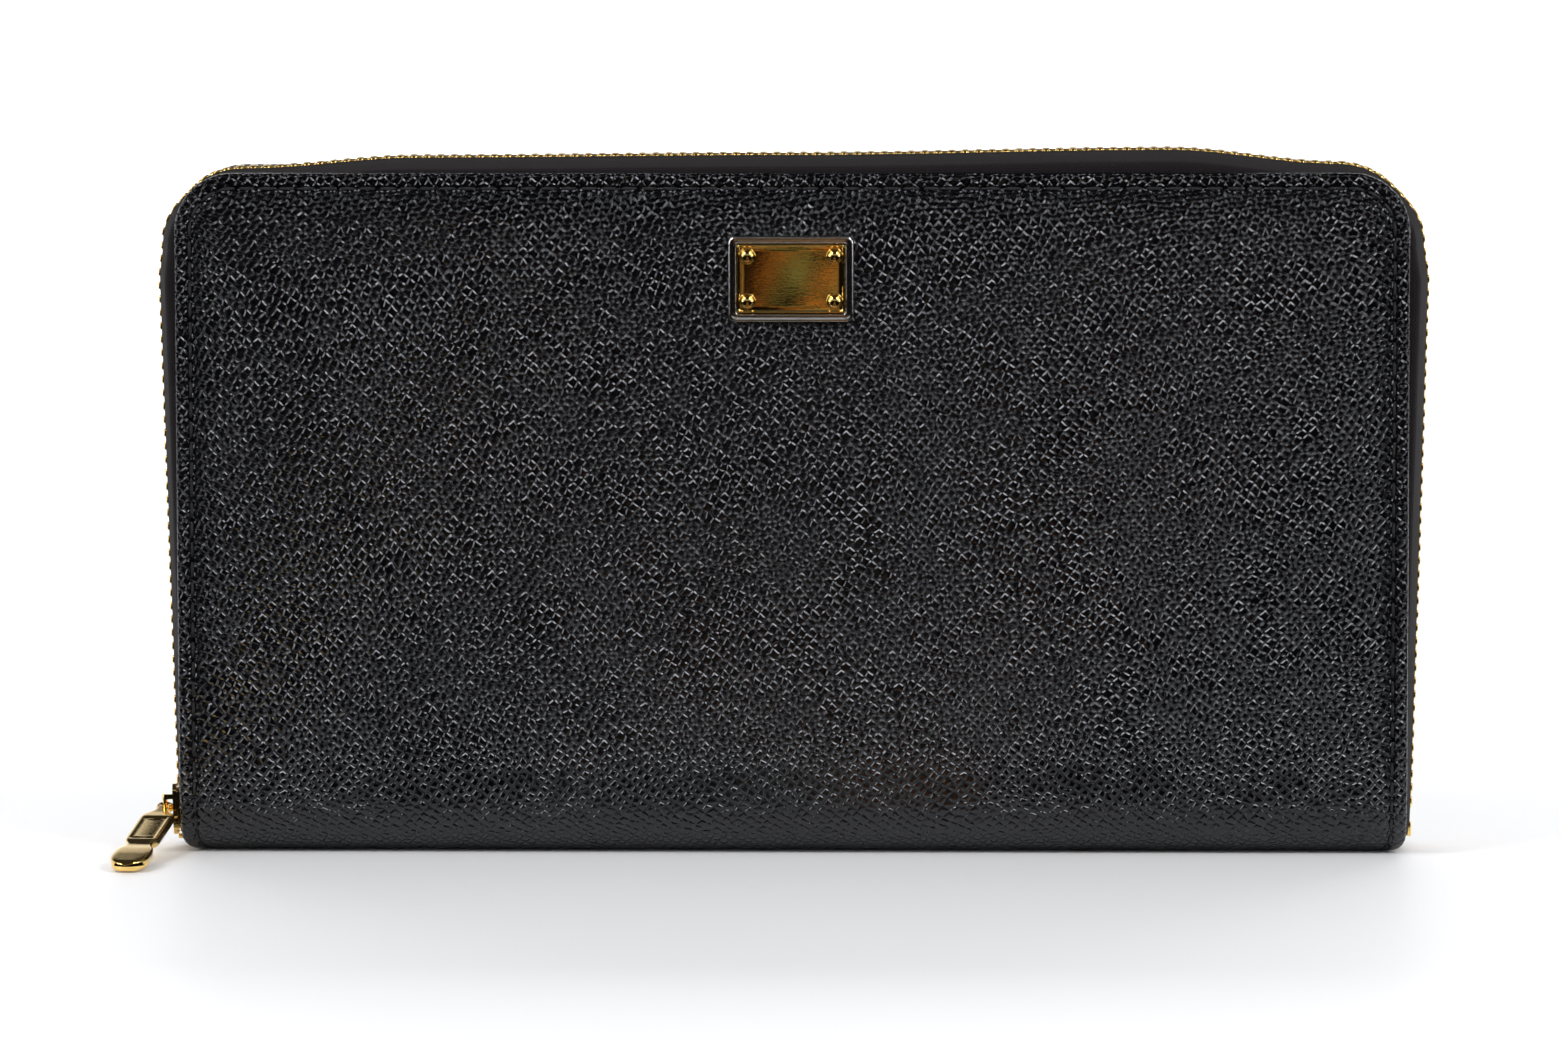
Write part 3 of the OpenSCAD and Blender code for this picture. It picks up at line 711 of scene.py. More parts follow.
def groove_path(side_len, top_half):
    """Where a place along the stitched groove is, in material coordinates, and the groove's length."""
    r = CORNER_R - GROOVE_IN
    arc = r * math.pi / 2
    cx, cs = HALF_W - CORNER_R, S_TOP - CORNER_R
    total = 2 * (side_len + arc + top_half)

    def at(t):
        flip = t > total / 2
        u = total - t if flip else t
        if u < side_len:
            x, s = -(HALF_W - GROOVE_IN), cs - side_len + u
        elif u < side_len + arc:
            a = math.pi - (u - side_len) / r
            x, s = -cx + r * math.cos(a), cs + r * math.sin(a)
        else:
            x, s = -cx + u - side_len - arc, S_TOP - GROOVE_IN
        return (-x if flip else x), s

    return at, total


def tube(centres, radii, up, sides=8):
    """A closed tube along a few points, with its own radius at each."""
    centres = np.asarray(centres, float)
    points, uv = [], []
    tangents = np.gradient(centres, axis=0)
    for centre, radius, t, length in zip(centres, radii, tangents, run_lengths(centres)):
        across = np.cross(t, up)
        across /= np.linalg.norm(across) or 1
        lift = np.cross(across, t)
        lift /= np.linalg.norm(lift) or 1
        for a in ring_angles(sides):
            points.append(centre + radius * (math.cos(a) * across + math.sin(a) * lift))
            uv.append((length, radius * a))
    return np.array(points), loft_faces(len(centres), sides), np.array(uv)


def stitch(at, start, length, lift, side):
    """One stitch between two needle holes, its ends pulled down into the leather."""
    centres, radii = [], []
    for share, drop, size in STITCH_SHAPE:
        x, s = at(start + share * length)
        centres.append(on_case(x, s, lift - drop, side))
        radii.append(STITCH_R * size)
    x, s = at(start + length / 2)
    up = on_case(x, s, 1.0, side) - on_case(x, s, 0.0, side)
    return tube(centres, radii, up)


def make_stitching(side):
    name = SIDE_NAME[side]
    at, total = groove_path(S_TOP - CORNER_R - 0.8, HALF_W - CORNER_R)
    count = int(total / STITCH_PITCH)
    pitch = total / count
    lift = -GROOVE_D - 0.12 + STITCH_R * 0.55
    parts = [stitch(at, (i + 0.08) * pitch, STITCH_LENGTH, lift, side) for i in range(count)]
    row = object_of(name + "_stitches", parts, thread)
    mount_bent(row, "thread", name, name + "_stitching", "spine_stitching")


# ---- main zip ----


def zip_half(turn_in, corner_out, shoulder_out):
    """Half of the zip's path in the X-Z plane, from the left foot to the middle of the top.
    It runs straight up along the slider's way, turns in to hug the corner, and arches above the top."""
    r = ZIP_CORNER_R
    foot = PANEL_TOP - r
    height = np.linspace(0, foot, 160)
    side_out = ZIP_FOOT_OUT + height * ZIP_LEAN
    side_out -= turn_in * smoothstep(ZIP_SLIDE_TOP, foot, height)
    side = np.stack([-(HALF_W + side_out), height], -1)
    turn = np.linspace(0, math.pi / 2, 60)[1:-1]
    half_way = math.radians(45)
    reach = r + side_out[-1] + (ZIP_TURN_OUT - side_out[-1]) * smoothstep(0, half_way, turn)
    reach += (corner_out - ZIP_TURN_OUT) * smoothstep(half_way, math.pi / 2, turn)
    start = -(HALF_W - r)
    corner = np.stack([start - reach * np.cos(turn), foot + reach * np.sin(turn)], -1)
    x = np.linspace(start, 0, 200)
    rise = corner_out + (shoulder_out - corner_out) * smoothstep(start, start + 26, x)
    rise += (ZIP_TOP_OUT - shoulder_out) * smoothstep(-60, 0, x)
    return np.concatenate([side, corner, np.stack([x, PANEL_TOP + rise], -1)])


def zip_section():
    """The zip's whole path from the left foot to the right one."""
    left = zip_half(ZIP_LEFT_TURN_IN, ZIP_LEFT_CORNER_OUT, ZIP_LEFT_SHOULDER_OUT)
    right = zip_half(ZIP_RIGHT_TURN_IN, ZIP_RIGHT_CORNER_OUT, ZIP_RIGHT_SHOULDER_OUT)
    return resampled(np.concatenate([left, right[-2::-1] * (-1, 1)]))


def resampled(points, step=0.5):
    """Even steps along a line: run lengths, places and smoothed outward normals."""
    run = run_lengths(points)
    even = np.linspace(0, run[-1], int(run[-1] / step) + 1)
    x, z = np.interp(even, run, points[:, 0]), np.interp(even, run, points[:, 1])
    kernel = np.hanning(13)
    kernel /= kernel.sum()
    tx, tz = (np.convolve(np.pad(np.gradient(v), 6, mode="edge"), kernel, "valid") for v in (x, z))
    size = np.hypot(tx, tz)
    return even, x, z, -tz / size, tx / size


ZIP_RUN, ZIP_X, ZIP_Z, ZIP_NX, ZIP_NZ = zip_section()
ZIP_LENGTH = ZIP_RUN[-1]


def on_zip(t, out, y):
    """A place along the whole zip, raised by out from its path, at depth y."""
    x = np.interp(t, ZIP_RUN, ZIP_X) + out * np.interp(t, ZIP_RUN, ZIP_NX)
    z = np.interp(t, ZIP_RUN, ZIP_Z) + out * np.interp(t, ZIP_RUN, ZIP_NZ)
    return np.stack(np.broadcast_arrays(x, y, z), -1)


def zip_run_at(z):
    """Run length on the left side at a height."""
    side = ZIP_RUN < ZIP_LENGTH / 4
    return float(np.interp(z, ZIP_Z[side], ZIP_RUN[side]))


def tape_outline():
    """Section of one zip tape, on the front side, as (out, y) pairs, and how many of them are on top.
    A flange behind the hem, a band that slopes out to the chain, and a corded edge."""
    top = [(-8.5, FLANGE_Y), (-4.0, FLANGE_Y), (-2.2, FLANGE_Y), (-1.5, FLANGE_Y + 0.15)]
    top += [(-1.05, FLANGE_Y + 0.6), (-0.8, -8.4), (-0.45, -7.0), (-0.1, -5.4), (0.12, -4.0)]
    top += [(0.22, -3.0), (0.30, -2.7), (0.42, -2.3), (0.38, -1.95), (0.1, -1.8)]
    under = [(-0.3, -1.95), (-0.32, -2.4), (-0.2, -2.9), (-0.3, -4.0), (-0.52, -5.4), (-0.87, -7.0)]
    under += [(-1.22, -8.2), (-1.5, FLANGE_Y + 0.95), (-1.9, FLANGE_Y + 0.5), (-2.6, FLANGE_Y + 0.4)]
    under += [(-4.0, FLANGE_Y + 0.4), (-8.5, FLANGE_Y + 0.4)]
    return np.array(top + under), len(top)


TAPE_FOOT_Z = 2.4


def make_tape(side):
    name = SIDE_NAME[side]
    outline, seen = tape_outline()
    start = zip_run_at(TAPE_FOOT_Z)
    stations = np.linspace(start, ZIP_LENGTH - start, int(ZIP_LENGTH / 1.6))
    width = run_lengths(outline)
    points, uv = [], []
    for t in stations:
        points.append(on_zip(t, outline[:, 0], outline[:, 1] * fold_in(t) * -side))
        uv.append(np.stack([np.full(len(outline), t), width], -1))
    faces = loft_faces(len(stations), len(outline))
    band = new_object(name + "_tape", np.concatenate(points), faces, tape, np.concatenate(uv))
    mount_bent(band, "zip_tape", name, name + "_zip_tape", name + "_zip_tape_ends")


def fold_in(t):
    """Towards its two ends the tape narrows to stay inside the curved spine."""
    z = float(np.interp(t, ZIP_RUN, ZIP_Z))
    inner = np.interp(run_at(max(z, 0.01)), RUN, SEC_Y)
    return min(1.0, (-inner - SPINE_EDGE_T - 0.35) / -FLANGE_Y)


def tooth_template():
    """One zip tooth in its own frame: out of the tape, across towards the other row, along the zip.
    A broad clamped foot, a waist, and a rounded head with a dimple."""
    sections = [(-TOOTH_BASE - 0.1, 0.46, 0.50), (-TOOTH_BASE + 0.05, 0.60, 0.66)]
    sections += [(-1.6, 0.62, 0.70), (-1.0, 0.60, 0.66), (-0.65, 0.46, 0.60), (-0.3, 0.44, 0.60)]
    sections += [(0.1, 0.48, 0.60), (0.4, 0.44, 0.50), (TOOTH_REACH, 0.30, 0.34)]
    points = []
    for y, a, o in sections:
        c = min(0.16, a * 0.5, o * 0.5)
        ring = [(o, -a + c), (o, a - c), (o - c, a), (-o + c, a)]
        ring += [(-o, a - c), (-o, -a + c), (-o + c, -a), (o - c, -a)]
        points += [(out, y, along) for out, along in ring]
    return np.array(points), loft_faces(len(sections), len(ring))


def teeth_at(places, side):
    """Copies of the tooth at run lengths along the zip."""
    shape, faces = tooth_template()
    parts = []
    for t in places:
        points = on_zip(t + shape[:, 2], shape[:, 0] + 0.05, shape[:, 1] * -side)
        parts.append((points, faces, shape[:, :2]))
    return joined(parts)


def make_teeth():
    fold = zip_run_at(FOLD_Z)
    count = round((ZIP_LENGTH - 2 * fold) / TOOTH_STEP)
    step = (ZIP_LENGTH - 2 * fold) / count
    end = []
    for side, shift in ((-1, 0.25), (1, 0.75)):
        name = SIDE_NAME[side]
        places = [fold + (i + shift) * step for i in range(count)]
        row = object_of(name + "_teeth", [teeth_at(places, side)], gold_teeth)
        mount_metal(row, "gold_metal", name + "_cover", name + "_zip_teeth")
        low = [fold + (shift - i) * step for i in (1, 2)]
        high = [fold + (count - 1 + shift + i) * step for i in (1, 2)]
        end.append(teeth_at(low + high, side))
    last = object_of("end_teeth", end, gold_teeth)
    mount_metal(last, "gold_metal", "spine", "zip_end_teeth")


# ---- main pull tab ----

swing = next(j for j in frame["joints"] if j["name"] == "zip_pull_swing")
PULL_BAR = Vector(swing["pos_m"]) / MM
PULL_L = 31.5
PULL_T = 1.7
PULL_END = 1.5
PULL_TURN = 264.0
PULL_DROP = math.degrees(math.asin((6.05 - PULL_T / 2 - 0.1) / PULL_L))
EYE_R = 1.3
EYE_TUBE = 0.45


def pull_width(run):
    """Half the pull's width at a distance from its eye."""
    shoulder = smoothstep(2.5, 6.0, run)
    waist = np.exp(-(((run - 20.6) / 1.5) ** 2))
    head = np.sqrt(np.clip(1 - np.clip((run - (PULL_L - 4.2)) / 4.2, 0, 1) ** 2, 0, 1))
    width = 1.0 + 1.65 * shoulder - 0.75 * waist + 0.35 * smoothstep(21, 26, run)
    return np.maximum(width * head, 0.02)


def pull_depth(run):
    """Half the pull's thickness at a distance from its eye."""
    body = 0.62 + 0.12 * smoothstep(4, 7, run) - 0.16 * np.exp(-(((run - 21.2) / 1.6) ** 2))
    swell = 0.13 * smoothstep(22, 27, run)
    tip = np.sqrt(np.clip(1 - np.clip((run - (PULL_L - 1.2)) / 1.2, 0, 1) ** 2, 0, 1))
    return np.maximum((body + swell) * (0.25 + 0.75 * tip), 0.02)


def pull_recess(run, y):
    """Depth of the plain oblong panel sunk into the pull's top face, with a fine raised line in it."""
    long_edge = smoothstep(7.0, 7.35, run) * (1 - smoothstep(18.1, 18.45, run))
    wide_edge = 1 - smoothstep(1.75, 1.95, np.abs(y))
    line_run = np.minimum(np.abs(run - 8.2), np.abs(run - 17.3))
    line_y = np.abs(np.abs(y) - 1.25)
    inside = (run > 8.0) & (run < 17.5) & (np.abs(y) < 1.45)
    line = np.where(inside, np.exp(-((np.minimum(line_run, line_y) / 0.16) ** 2)), 0)
    return 0.2 * long_edge * wide_edge - 0.14 * line


def pull_body():
    """The pull's loft, along +X from the eye, Y across, Z up."""
    blunt = PULL_L - PULL_END * (1 - np.sin(np.linspace(0, math.pi / 2, 10)))
    stations = np.concatenate([np.linspace(0.9, PULL_L - PULL_END, 96), blunt[1:]])
    girth = 48
    angle = 2 * np.pi * np.arange(girth) / girth
    squareness = 0.36
    unit_y, unit_z = (np.sign(v) * np.abs(v) ** squareness for v in (np.cos(angle), np.sin(angle)))
    points = []
    for run in stations:
        along = np.full(girth, run)
        y = unit_y * pull_width(run)
        z = unit_z * pull_depth(run)
        z = z - np.where(unit_z > 0.9, pull_recess(along, y), 0)
        points.append(np.stack([along, y, z], -1))
    points = np.concatenate(points)
    return points, loft_faces(len(stations), girth), points[:, :2]


def ring(radius, thickness, steps=32, sides=14):
    """A ring round the Z axis."""
    points, faces = [], []
    for a in ring_angles(steps):
        for b in ring_angles(sides):
            r = radius + thickness * math.cos(b)
            points.append((r * math.cos(a), r * math.sin(a), thickness * 1.35 * math.sin(b)))
    for i in range(steps):
        row = [i * sides + k for k in range(sides)]
        following = [((i + 1) % steps) * sides + k for k in range(sides)]
        faces += strip_faces(row, following, closed=True)
    points = np.array(points)
    return points, faces, points[:, :2]


def make_pull():
    points, faces, uv = joined([pull_body(), ring(EYE_R - EYE_TUBE + 0.12, EYE_TUBE)])
    drop = Matrix.Rotation(math.radians(PULL_DROP), 4, "Y")
    turn = np.array((Matrix.Rotation(math.radians(PULL_TURN), 4, "Z") @ drop).to_3x3())
    tab = new_object("zip_pull_tab", points @ turn.T + np.array(PULL_BAR), faces, gold, uv)
    mount(tab, "gold_metal", "zip_pull", "zip_pull")


# ---- plaque ----


def rectangle_loop(half_w, half_h, radius, steps=6):
    """A rectangle with round corners, as (x, z) pairs."""
    radius = max(radius, 0.02)
    loop = []
    for cx, cz, start in ((1, 1, 0), (-1, 1, 90), (-1, -1, 180), (1, -1, 270)):
        x, z = cx * (half_w - radius), cz * (half_h - radius)
        for k in range(steps + 1):
            a = math.radians(start + 90 * k / steps)
            loop.append((x + radius * math.cos(a), z + radius * math.sin(a)))
    return np.array(loop)


def rectangle_sweep(low, high, radius, profile, lift, cap):
    """A moulding round the rectangle of a CAD part's box. profile is (inset, height over the case).
    All but its foot is lifted with the padded leather. cap closes the middle."""
    half_w, half_h = high.x, (high.z - low.z) / 2
    centre_z = (low.z + high.z) / 2
    points, faces, previous = [], [], None
    for inset, height in profile:
        height += lift if height > 0 else 0
        loop = rectangle_loop(half_w - inset, half_h - inset, radius - inset * 0.6)
        numbers = [len(loop) * len(points) + k for k in range(len(loop))]
        depth = np.full(len(loop), -HALF_T - height)
        points.append(np.stack([loop[:, 0], depth, loop[:, 1] + centre_z], -1))
        if previous:
            faces += strip_faces(previous, numbers, closed=True)
        previous = numbers
    if cap:
        faces.append(tuple(previous))
    else:
        faces += strip_faces(previous, list(range(len(points[0]))), closed=True)
    points = np.concatenate(points)
    return points, faces, points[:, [0, 2]]


def leather_at_plaque():
    """How far the padded leather stands out behind the plaque."""
    z = (frame_low.z + frame_high.z) / 2
    x = np.array([0.0])
    return float(leather_face(x, np.array([run_at(z)]), None)[0])


def make_plaque():
    lift = leather_at_plaque() * 0.8
    rim = [(0.0, 0.0), (0.0, 0.62), (0.05, 0.78), (0.16, 0.92), (0.32, 0.98), (0.42, 0.98)]
    rim += [(0.50, 0.93), (0.95, 0.86), (1.02, 0.90), (1.12, 0.91), (1.2, 0.86), (1.27, 0.74)]
    rim += [(1.3, 0.6), (1.3, 0.0)]
    moulding = rectangle_sweep(frame_low, frame_high, 1.2, rim, lift, cap=False)
    bezel = object_of("plaque_bezel", [moulding], nickel)
    mount_metal(bezel, "polished_steel", "front_cover", "plaque_frame")
    face = [(0.0, 0.0), (0.0, 0.56), (0.05, 0.68), (0.14, 0.74), (0.26, 0.74), (0.36, 0.68)]
    face += [(0.42, 0.58), (0.5, 0.55), (1.2, 0.56)]
    plate = rectangle_sweep(plate_low, plate_high, 0.5, face, lift, cap=True)
    plate = object_of("plaque_face", [plate], gold_plate)
    mount_metal(plate, "gold_plate", "front_cover", "plaque_plate")
    make_screws(-HALF_T - 0.55 - lift, (frame_low.z + frame_high.z) / 2)


def lathe(profile, steps=28):
    """A turned shape from (radius, height) pairs, its axis along -Y."""
    points = [
        (radius * math.cos(a), -height, radius * math.sin(a))
        for radius, height in profile
        for a in ring_angles(steps)
    ]
    return np.array(points), loft_faces(len(profile), steps)


def make_screws(face_y, centre_z):
    """Domed screw heads, each in a fine sunk ring."""
    reach = 1.02
    dome = [(1.28, -0.05), (1.28, 0.05), (1.2, 0.1), (1.12, 0.06), (1.06, -0.02)]
    dome += [(reach * math.cos(a), 0.02 + 0.72 * math.sin(a)) for a in np.linspace(0.05, 1.45, 12)]
    shape, faces = lathe(dome)
    parts = [
        (shape + np.array([x, face_y, centre_z + z]), faces, shape[:, [0, 2]])
        for x in (-6.75, 6.75)
        for z in (-3.5, 3.5)
    ]
    heads = object_of("plaque_screw_heads", parts, gold)
    mount_metal(heads, "gold_metal", "front_cover", "plaque_screws")


# ---- linings ----

LINING_EDGE = 1.5
LINING_CORNER = 12.0


def lining_depth(s):
    """Depth of the lining's outer face: behind the tape on a cover, behind the board on the spine."""
    return 1.75 + (2.55 - 1.75) * smoothstep(9, 14, height_at(s))


def make_lining(side):
    name = SIDE_NAME[side]
    half_w, top = HALF_W - LINING_EDGE, S_TOP - LINING_EDGE

    def at_depth(extra):
        return lambda x, s, inset: -lining_depth(s) - extra

    outside, inside = at_depth(0), at_depth(CLOTH_T)
    rings = [(6.0, outside), (2.0, outside), (0.2, outside), (0.05, at_depth(0.06))]
    rings += [(0.05, at_depth(CLOTH_T - 0.06)), (0.2, inside), (2.0, inside), (6.0, inside)]
    flat, out, faces = panel_sheet(half_w, LINING_CORNER, top, rings, outside, inside)
    points = on_case(flat[:, 0], flat[:, 1], out, side)
    cloth = new_object(name + "_lining_cloth", points, faces, lining, flat)
    mount_bent(cloth, "lining", name, name + "_lining", "spine_lining")


# ---- pockets ----


def leaf_shape(low, high, corner_r, side, turned=4.0):
    """A pocket leaf: its top edge is turned over, so a band along the mouth is thicker."""
    x0, x1, z0, z1 = low.x, high.x, low.z, high.z
    middle = np.linspace(x0 + 2, x1 - 2, 60)
    columns = np.concatenate([[x0, x0 + 0.12, x0 + 0.5], middle, [x1 - 0.5, x1 - 0.12, x1]])
    below = (turned + 0.4, turned + 0.12, turned, turned - 0.3, turned - 0.8, 1.6, 0.8, 0.3, 0.1, 0)
    rows = np.concatenate([np.linspace(z0, z1 - turned - 1, 14), z1 - np.array(below)])
    x, z = np.meshgrid(columns, rows, indexing="ij")
    edge = np.minimum.reduce([x - x0, x1 - x, z1 - z])
    near = np.clip((0.25 - edge) / 0.25, 0, 1)
    round_off = 0.5 * (high.y - low.y) * (1 - np.sqrt(np.clip(1 - near**2, 0, 1)))
    band = 0.10 * smoothstep(-0.3, 0.0, z - (z1 - turned))
    press = 0.06 * np.exp(-(((z - (z1 - turned)) / 0.15) ** 2))
    corner = np.clip(corner_r - np.minimum(x - x0, x1 - x), 0, corner_r)
    drop = (corner_r - np.sqrt(np.maximum(corner_r**2 - corner**2, 0))) * smoothstep(z1 - 12, z1, z)
    inner_y, outer_y = (low.y, high.y) if side > 0 else (high.y, low.y)
    face = inner_y - side * (-round_off - 0.08 + band - press)
    rear = outer_y - side * round_off
    layers = [np.stack([x.ravel(), y.ravel(), (z - drop).ravel()], -1) for y in (face, rear)]
    points = np.concatenate(layers)
    count = x.size
    number = np.arange(count).reshape(x.shape)
    faces = []
    for i in range(x.shape[0] - 1):
        faces += strip_faces(list(number[i]), list(number[i + 1]))
        faces += strip_faces(list(number[i] + count), list(number[i + 1] + count))
    rim = [*number[:, 0], *number[-1, 1:], *number[-2::-1, -1], *number[0, -2:0:-1]]
    faces += strip_faces(rim, [k + count for k in rim], closed=True)
    return points, faces, points[:, [0, 2]]


def row_of_stitches(start, end, up, radius=0.16, pitch=2.6, length=2.1):
    """Straight stitches between two points."""
    start, end, up = (np.asarray(v, float) for v in (start, end, up))
    run = np.linalg.norm(end - start)
    direction = (end - start) / run
    shape = ((0, 0.2, 0.5), (0.12, 0.02, 0.9), (0.5, -0.02, 1), (0.88, 0.02, 0.9), (1, 0.2, 0.5))
    parts = []
    for i in range(int(run / pitch)):
        base = start + direction * (i + 0.1) * pitch
        centres = [base + direction * length * share - up * drop for share, drop, size in shape]
        parts.append(tube(centres, [radius * size for share, drop, size in shape], up, sides=6))
    return parts


def mouth_seam(low, high, y, up):
    """Stitches under a leaf's mouth."""
    z = high.z - 2.9
    return row_of_stitches((low.x + 3, y, z), (high.x - 3, y, z), up)


def make_leaf(node, side, body, centre_seam):
    low, high = box_mm(node)
    leaf = object_of(node + "_leaf", [leaf_shape(low, high, 2.5, side)], inner_uv)
    mount(leaf, "pocket_leather", body, node)
    inwards = (0, -side, 0)
    seam_y = (low.y if side > 0 else high.y) + side * 0.02
    parts = mouth_seam(low, high, seam_y, inwards)
    if centre_seam:
        parts += row_of_stitches((0, seam_y, low.z + 1), (0, seam_y, high.z - 4.5), inwards)
    mount(object_of(node + "_seam", parts, thread), "thread", body)


def make_pockets():
    for side, name in SIDE_NAME.items():
        body = name + "_cover"
        make_leaf(name + "_slip_pocket", side, body, centre_seam=False)
        for n in (1, 2, 3, 4):
            make_leaf(f"{name}_card_slot_{n}", side, body, centre_seam=n == 4)


def make_boards():
    """What lies between the leather and the lining."""
    for name in SIDE_NAME.values():
        body = name + "_cover"
        pad = softened_node(name + "_padding", 0.3, foam, "padding", body, name + "_pad")
        softened_node(name + "_board", 0.1, board, "board", body, name + "_stiffener")
    softened_node("spine_board", 0.1, board, "board", "spine", "spine_stiffener")


# ---- gussets ----

POUCH_EDGE = 87.0
GUSSET_HALF_T = 0.2


def make_gusset(side, end):
    """A folded leaf between the pockets and the coin pouch, pleated inwards."""
    node = "_".join((SIDE_NAME[side], "left" if end < 0 else "right", "gusset"))
    low, high = box_mm(node)
    y_cover, y_pouch = (low.y, high.y) if side < 0 else (high.y, low.y)
    x_edge = max(abs(low.x), abs(high.x))
    x_fold = min(abs(low.x), abs(high.x))
    share = np.linspace(0, 1, 33)
    pleat = 1 - np.abs(2 * share - 1)
    pleat = np.sqrt(pleat**2 + 0.004) - 0.063
    rest = x_edge + (POUCH_EDGE - x_edge) * share
    x = end * (rest - (rest - x_fold - 0.2) * np.clip(pleat / pleat.max(), 0, 1))
    outline = np.stack([x, y_cover + (y_pouch - y_cover) * share], -1)
    tangent = np.gradient(outline, axis=0)
    normal = np.stack([-tangent[:, 1], tangent[:, 0]], -1)
    normal /= np.linalg.norm(normal, axis=1)[:, None]
    raised = normal * GUSSET_HALF_T
    loop = np.concatenate([outline + raised, (outline - raised)[::-1]])
    run = run_lengths(loop)
    count = len(loop)
    rows = np.linspace(low.z, high.z, 24)
    points = [np.stack([loop[:, 0], loop[:, 1], np.full(count, z)], -1) for z in rows]
    uv = [np.stack([run, np.full(count, z)], -1) for z in rows]
    faces = loft_faces(len(rows), count, capped=False)
    for first in (0, (len(rows) - 1) * count):
        last = first + count - 1
        faces += [(first + k, first + k + 1, last - k - 1, last - k) for k in range(count // 2 - 1)]
    leaf = new_object(node + "_leaf", np.concatenate(points), faces, inner_uv, np.concatenate(uv))
    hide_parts(node)
    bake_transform(leaf)


# ---- coin pouch ----


def make_pouch():
    for side, name in SIDE_NAME.items():
        wall = f"pouch_{name}_wall"
        low, high = box_mm(wall)
        leaf = object_of(wall + "_leaf", [leaf_shape(low, high, 1.0, -side)], inner_uv)
        mount(leaf, "pocket_leather", "spine", wall)
        seam_y = (low.y if side < 0 else high.y) - side * 0.05
        parts = mouth_seam(low, high, seam_y, (0, side, 0))
        mount(object_of(f"pouch_{name}_seam", parts, thread), "thread", "spine")
        cloth = f"pouch_{name}_zip_cloth"
        softened_node(f"pouch_{name}_tape", 0.1, tape_plain, "zip_tape", "spine", cloth)
    softened_node("pouch_binding", 0.25, inner, "pocket_leather", "spine", "pouch_piping")


def make_small_metal():
    for node, body, radius in (
        ("pouch_front_teeth", "spine", 0.14),
        ("pouch_back_teeth", "spine", 0.14),
        ("pouch_zip_stops", "spine", 0.12),
        ("pouch_slider", "pouch_slider", 0.16),
        ("pouch_pull", "pouch_pull", 0.22),
        ("zip_top_stops", "spine", 0.14),
        ("zip_bottom_stop", "spine", 0.2),
        ("zip_slider", "zip_slider", 0.2),
    ):
        softened_node(node, radius, gold, "gold_metal", body)
    softened_node("plaque_backplate", 0.08, nickel, "polished_steel", "front_cover")


# ---- stage ----

CAMERA_AIM = (-2.04, 0.0, 51.39)
CAMERA_AZIMUTH = 1.56
CAMERA_ELEVATION = 6.0
CAMERA_ROLL = -0.11
CAMERA_DISTANCE = 1356.0
CAMERA_LENS = 200.0


def make_camera():
    data = bpy.data.cameras.new("camera")
    data.lens = CAMERA_LENS
    data.sensor_width = 36.0
    data.clip_start, data.clip_end = 0.05, 40
    camera = place_object("camera", data)
    a, e = math.radians(CAMERA_AZIMUTH), math.radians(CAMERA_ELEVATION)
    back = Vector((math.sin(a) * math.cos(e), -math.cos(a) * math.cos(e), math.sin(e)))
    camera.location = (Vector(CAMERA_AIM) + back * CAMERA_DISTANCE) * MM
    roll = Matrix.Rotation(math.radians(CAMERA_ROLL), 3, "Z")
    turn = (-back).to_track_quat("-Z", "Y").to_matrix() @ roll
    camera.rotation_mode = "QUATERNION"
    camera.rotation_quaternion = turn.to_quaternion()
    bpy.context.scene.camera = camera


def pale_table(name):
    sh = Shader(name)
    place = sh.add("TexCoord", output=3)
    cloud = sh.noise(place, 3.0, 3.0)
    return sh.finish(
        Base_Color=sh.mix(cloud, (0.91, 0.91, 0.92, 1), (0.93, 0.93, 0.935, 1)),
        Roughness=sh.ramp(cloud, 0.3, 0.7, 0.40, 0.46),
        Specular_IOR_Level=0.14,
    )


def make_floor():
    """A wide pale table top, a hair below the base, that turns up into a low rim far away."""
    steps = 96
    flat = [(0.0, 0.0), (0.3, 0.0), (1.0, 0.0), (3.0, 0.0)]
    turned_up = [(4.0, 0.12), (4.6, 0.5), (5.0, 1.2), (5.1, 2.4)]
    points = []
    for radius, height in flat + turned_up:
        for a in ring_angles(steps):
            x, y = radius / MM * math.cos(a), radius / MM * math.sin(a)
            points.append((x, y, height / MM - 0.05))
    faces = loft_faces(len(flat + turned_up), steps, capped=False)
    new_object("floor", points, faces, pale_table("table"))


def area_light(name, place, aim, width, height, power):
    data = bpy.data.lights.new(name, "AREA")
    data.shape = "RECTANGLE"
    data.size, data.size_y = width, height
    data.energy = power
    light = place_object(name, data)
    light.location = place
    light.rotation_mode = "QUATERNION"
    light.rotation_quaternion = (Vector(aim) - Vector(place)).to_track_quat("-Z", "Y")
    return light


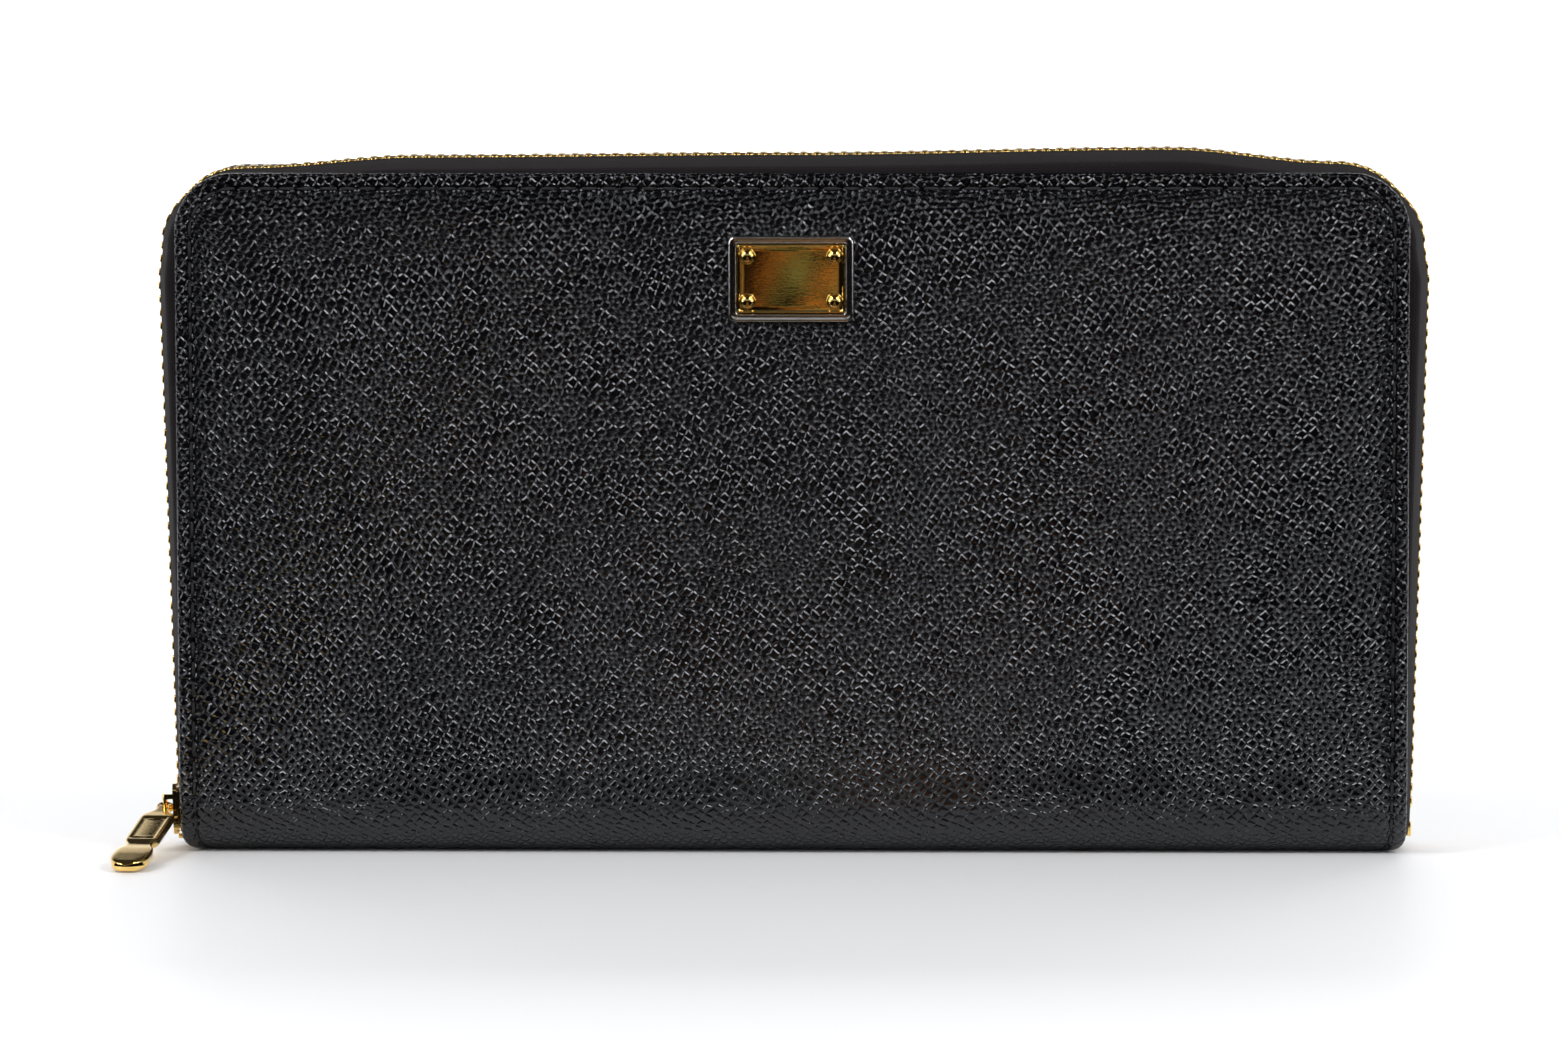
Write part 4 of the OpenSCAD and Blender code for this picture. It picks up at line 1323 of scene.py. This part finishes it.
def make_dark_card():
    """An unlit card in front of the case, seen only as a reflection and only from above.
    It stands for the dark room behind the camera, and near its middle it glows in warm and green
    patches: a painted reflection that colours the plaque."""
    sh = Shader("dark_card")
    at = sh.add("TexCoord", output=3)
    across = sh.math("ABSOLUTE", sh.add("SeparateXYZ", {0: at}))
    near_middle = sh.ramp(across, 0.03, 0.045, 1.0, 0.0)
    place = sh.vector("MULTIPLY", at, (60.0, 14.0, 14.0))
    elsewhere = sh.vector("ADD", place, (7.0, 3.0, 0))
    # Painted reflection: warm and green glowing patches near the middle, which the plaque reflects.
    warm_reflection_patch = sh.ramp(sh.noise(place, 1.0, 1.0), 0.51, 0.55)
    green_reflection_patch = sh.ramp(sh.noise(elsewhere, 1.0, 1.0), 0.54, 0.58)
    painted_reflection_glow = sh.mix(warm_reflection_patch, (0.012, 0.011, 0.010, 1), (0.45, 0.19, 0.07, 1))
    painted_reflection_glow = sh.mix(green_reflection_patch, painted_reflection_glow, (0.16, 0.18, 0.12, 1))
    painted_reflection_glow = sh.mix(near_middle, (0.005, 0.005, 0.006, 1), painted_reflection_glow)
    towards_viewer = sh.add("NewGeometry", output=4)
    facing = {0: towards_viewer, 1: (0, 0.5, 1)}
    facing = sh.add("VectorMath", facing, output=1, operation="DOT_PRODUCT")
    room, clear = sh.add("Emission", {"Color": painted_reflection_glow}), sh.add("BsdfTransparent")
    sh.show(sh.add("MixShader", {0: sh.math("LESS_THAN", facing), 1: room, 2: clear}))
    wide, near, far, high = 1500, -19, -1500, 420
    corners = [(-wide, near, 1), (wide, near, 1), (wide, far, 1)]
    corners += [(-wide, far, 1), (-wide, far, high), (wide, far, high)]
    quads = [(0, 1, 2, 3), (3, 2, 5, 4)]
    card = new_object("dark_card", corners, quads, sh.material, smooth=False)
    card.visible_camera = False
    card.visible_diffuse = False
    card.visible_shadow = False
    card.visible_transmission = False


KEY_PLACE = (0.75, -0.62, 0.85)
SIDE_PLACE = (1.1, -0.35, 0.32)


def make_lights():
    """A key softbox above each shoulder, a low one at each side, and one that whitens the far table."""
    for side, name in ((-1, "left"), (1, "right")):
        x, y, z = KEY_PLACE
        area_light(name + "_key", (side * x, y, z), (0, 0, 0.06), 0.4, 0.4, 5.2)
        x, y, z = SIDE_PLACE
        area_light(name + "_softbox", (side * x, y, z), (0, 0, 0.05), 0.3, 0.6, 2.5)
    far = area_light("far_softbox", (0.0, 2.4, 1.6), (0, 2.6, 0.0), 3.0, 2.0, 110)
    far.visible_glossy = False


SKY_LOW = 0.12
SKY_HIGH = 0.62
SKY_IN_GLOSS = 0.03


def make_world():
    """A white fill from overhead. Shiny surfaces see a dim room, lit only by the softboxes."""
    world = bpy.data.worlds.new("studio")
    nodes = Nodes(world, "World")
    height = nodes.add("SeparateXYZ", {0: nodes.add("TexCoord", output="Generated")}, output="Z")
    sky = nodes.add("MapRange", {"Value": height, "To Min": SKY_LOW, "To Max": SKY_HIGH})
    glossy = nodes.add("LightPath", output="Is Glossy Ray")
    level = nodes.add("MapRange", {"Value": glossy, "To Min": sky, "To Max": SKY_IN_GLOSS})
    nodes.show(nodes.add("Background", {"Color": (0.97, 0.98, 1.0, 1), "Strength": level}))
    bpy.context.scene.world = world


# ---- build ----

for face_side in SIDE_NAME:
    make_leather(face_side)
    make_stitching(face_side)
    make_lining(face_side)
    make_tape(face_side)
    for end_side in (-1, 1):
        make_gusset(face_side, end_side)
make_teeth()
make_pull()
make_plaque()
make_boards()
make_pockets()
make_pouch()
make_small_metal()
make_floor()
make_camera()
make_dark_card()
make_lights()
make_world()
bpy.context.scene.view_settings.view_transform = "Standard"
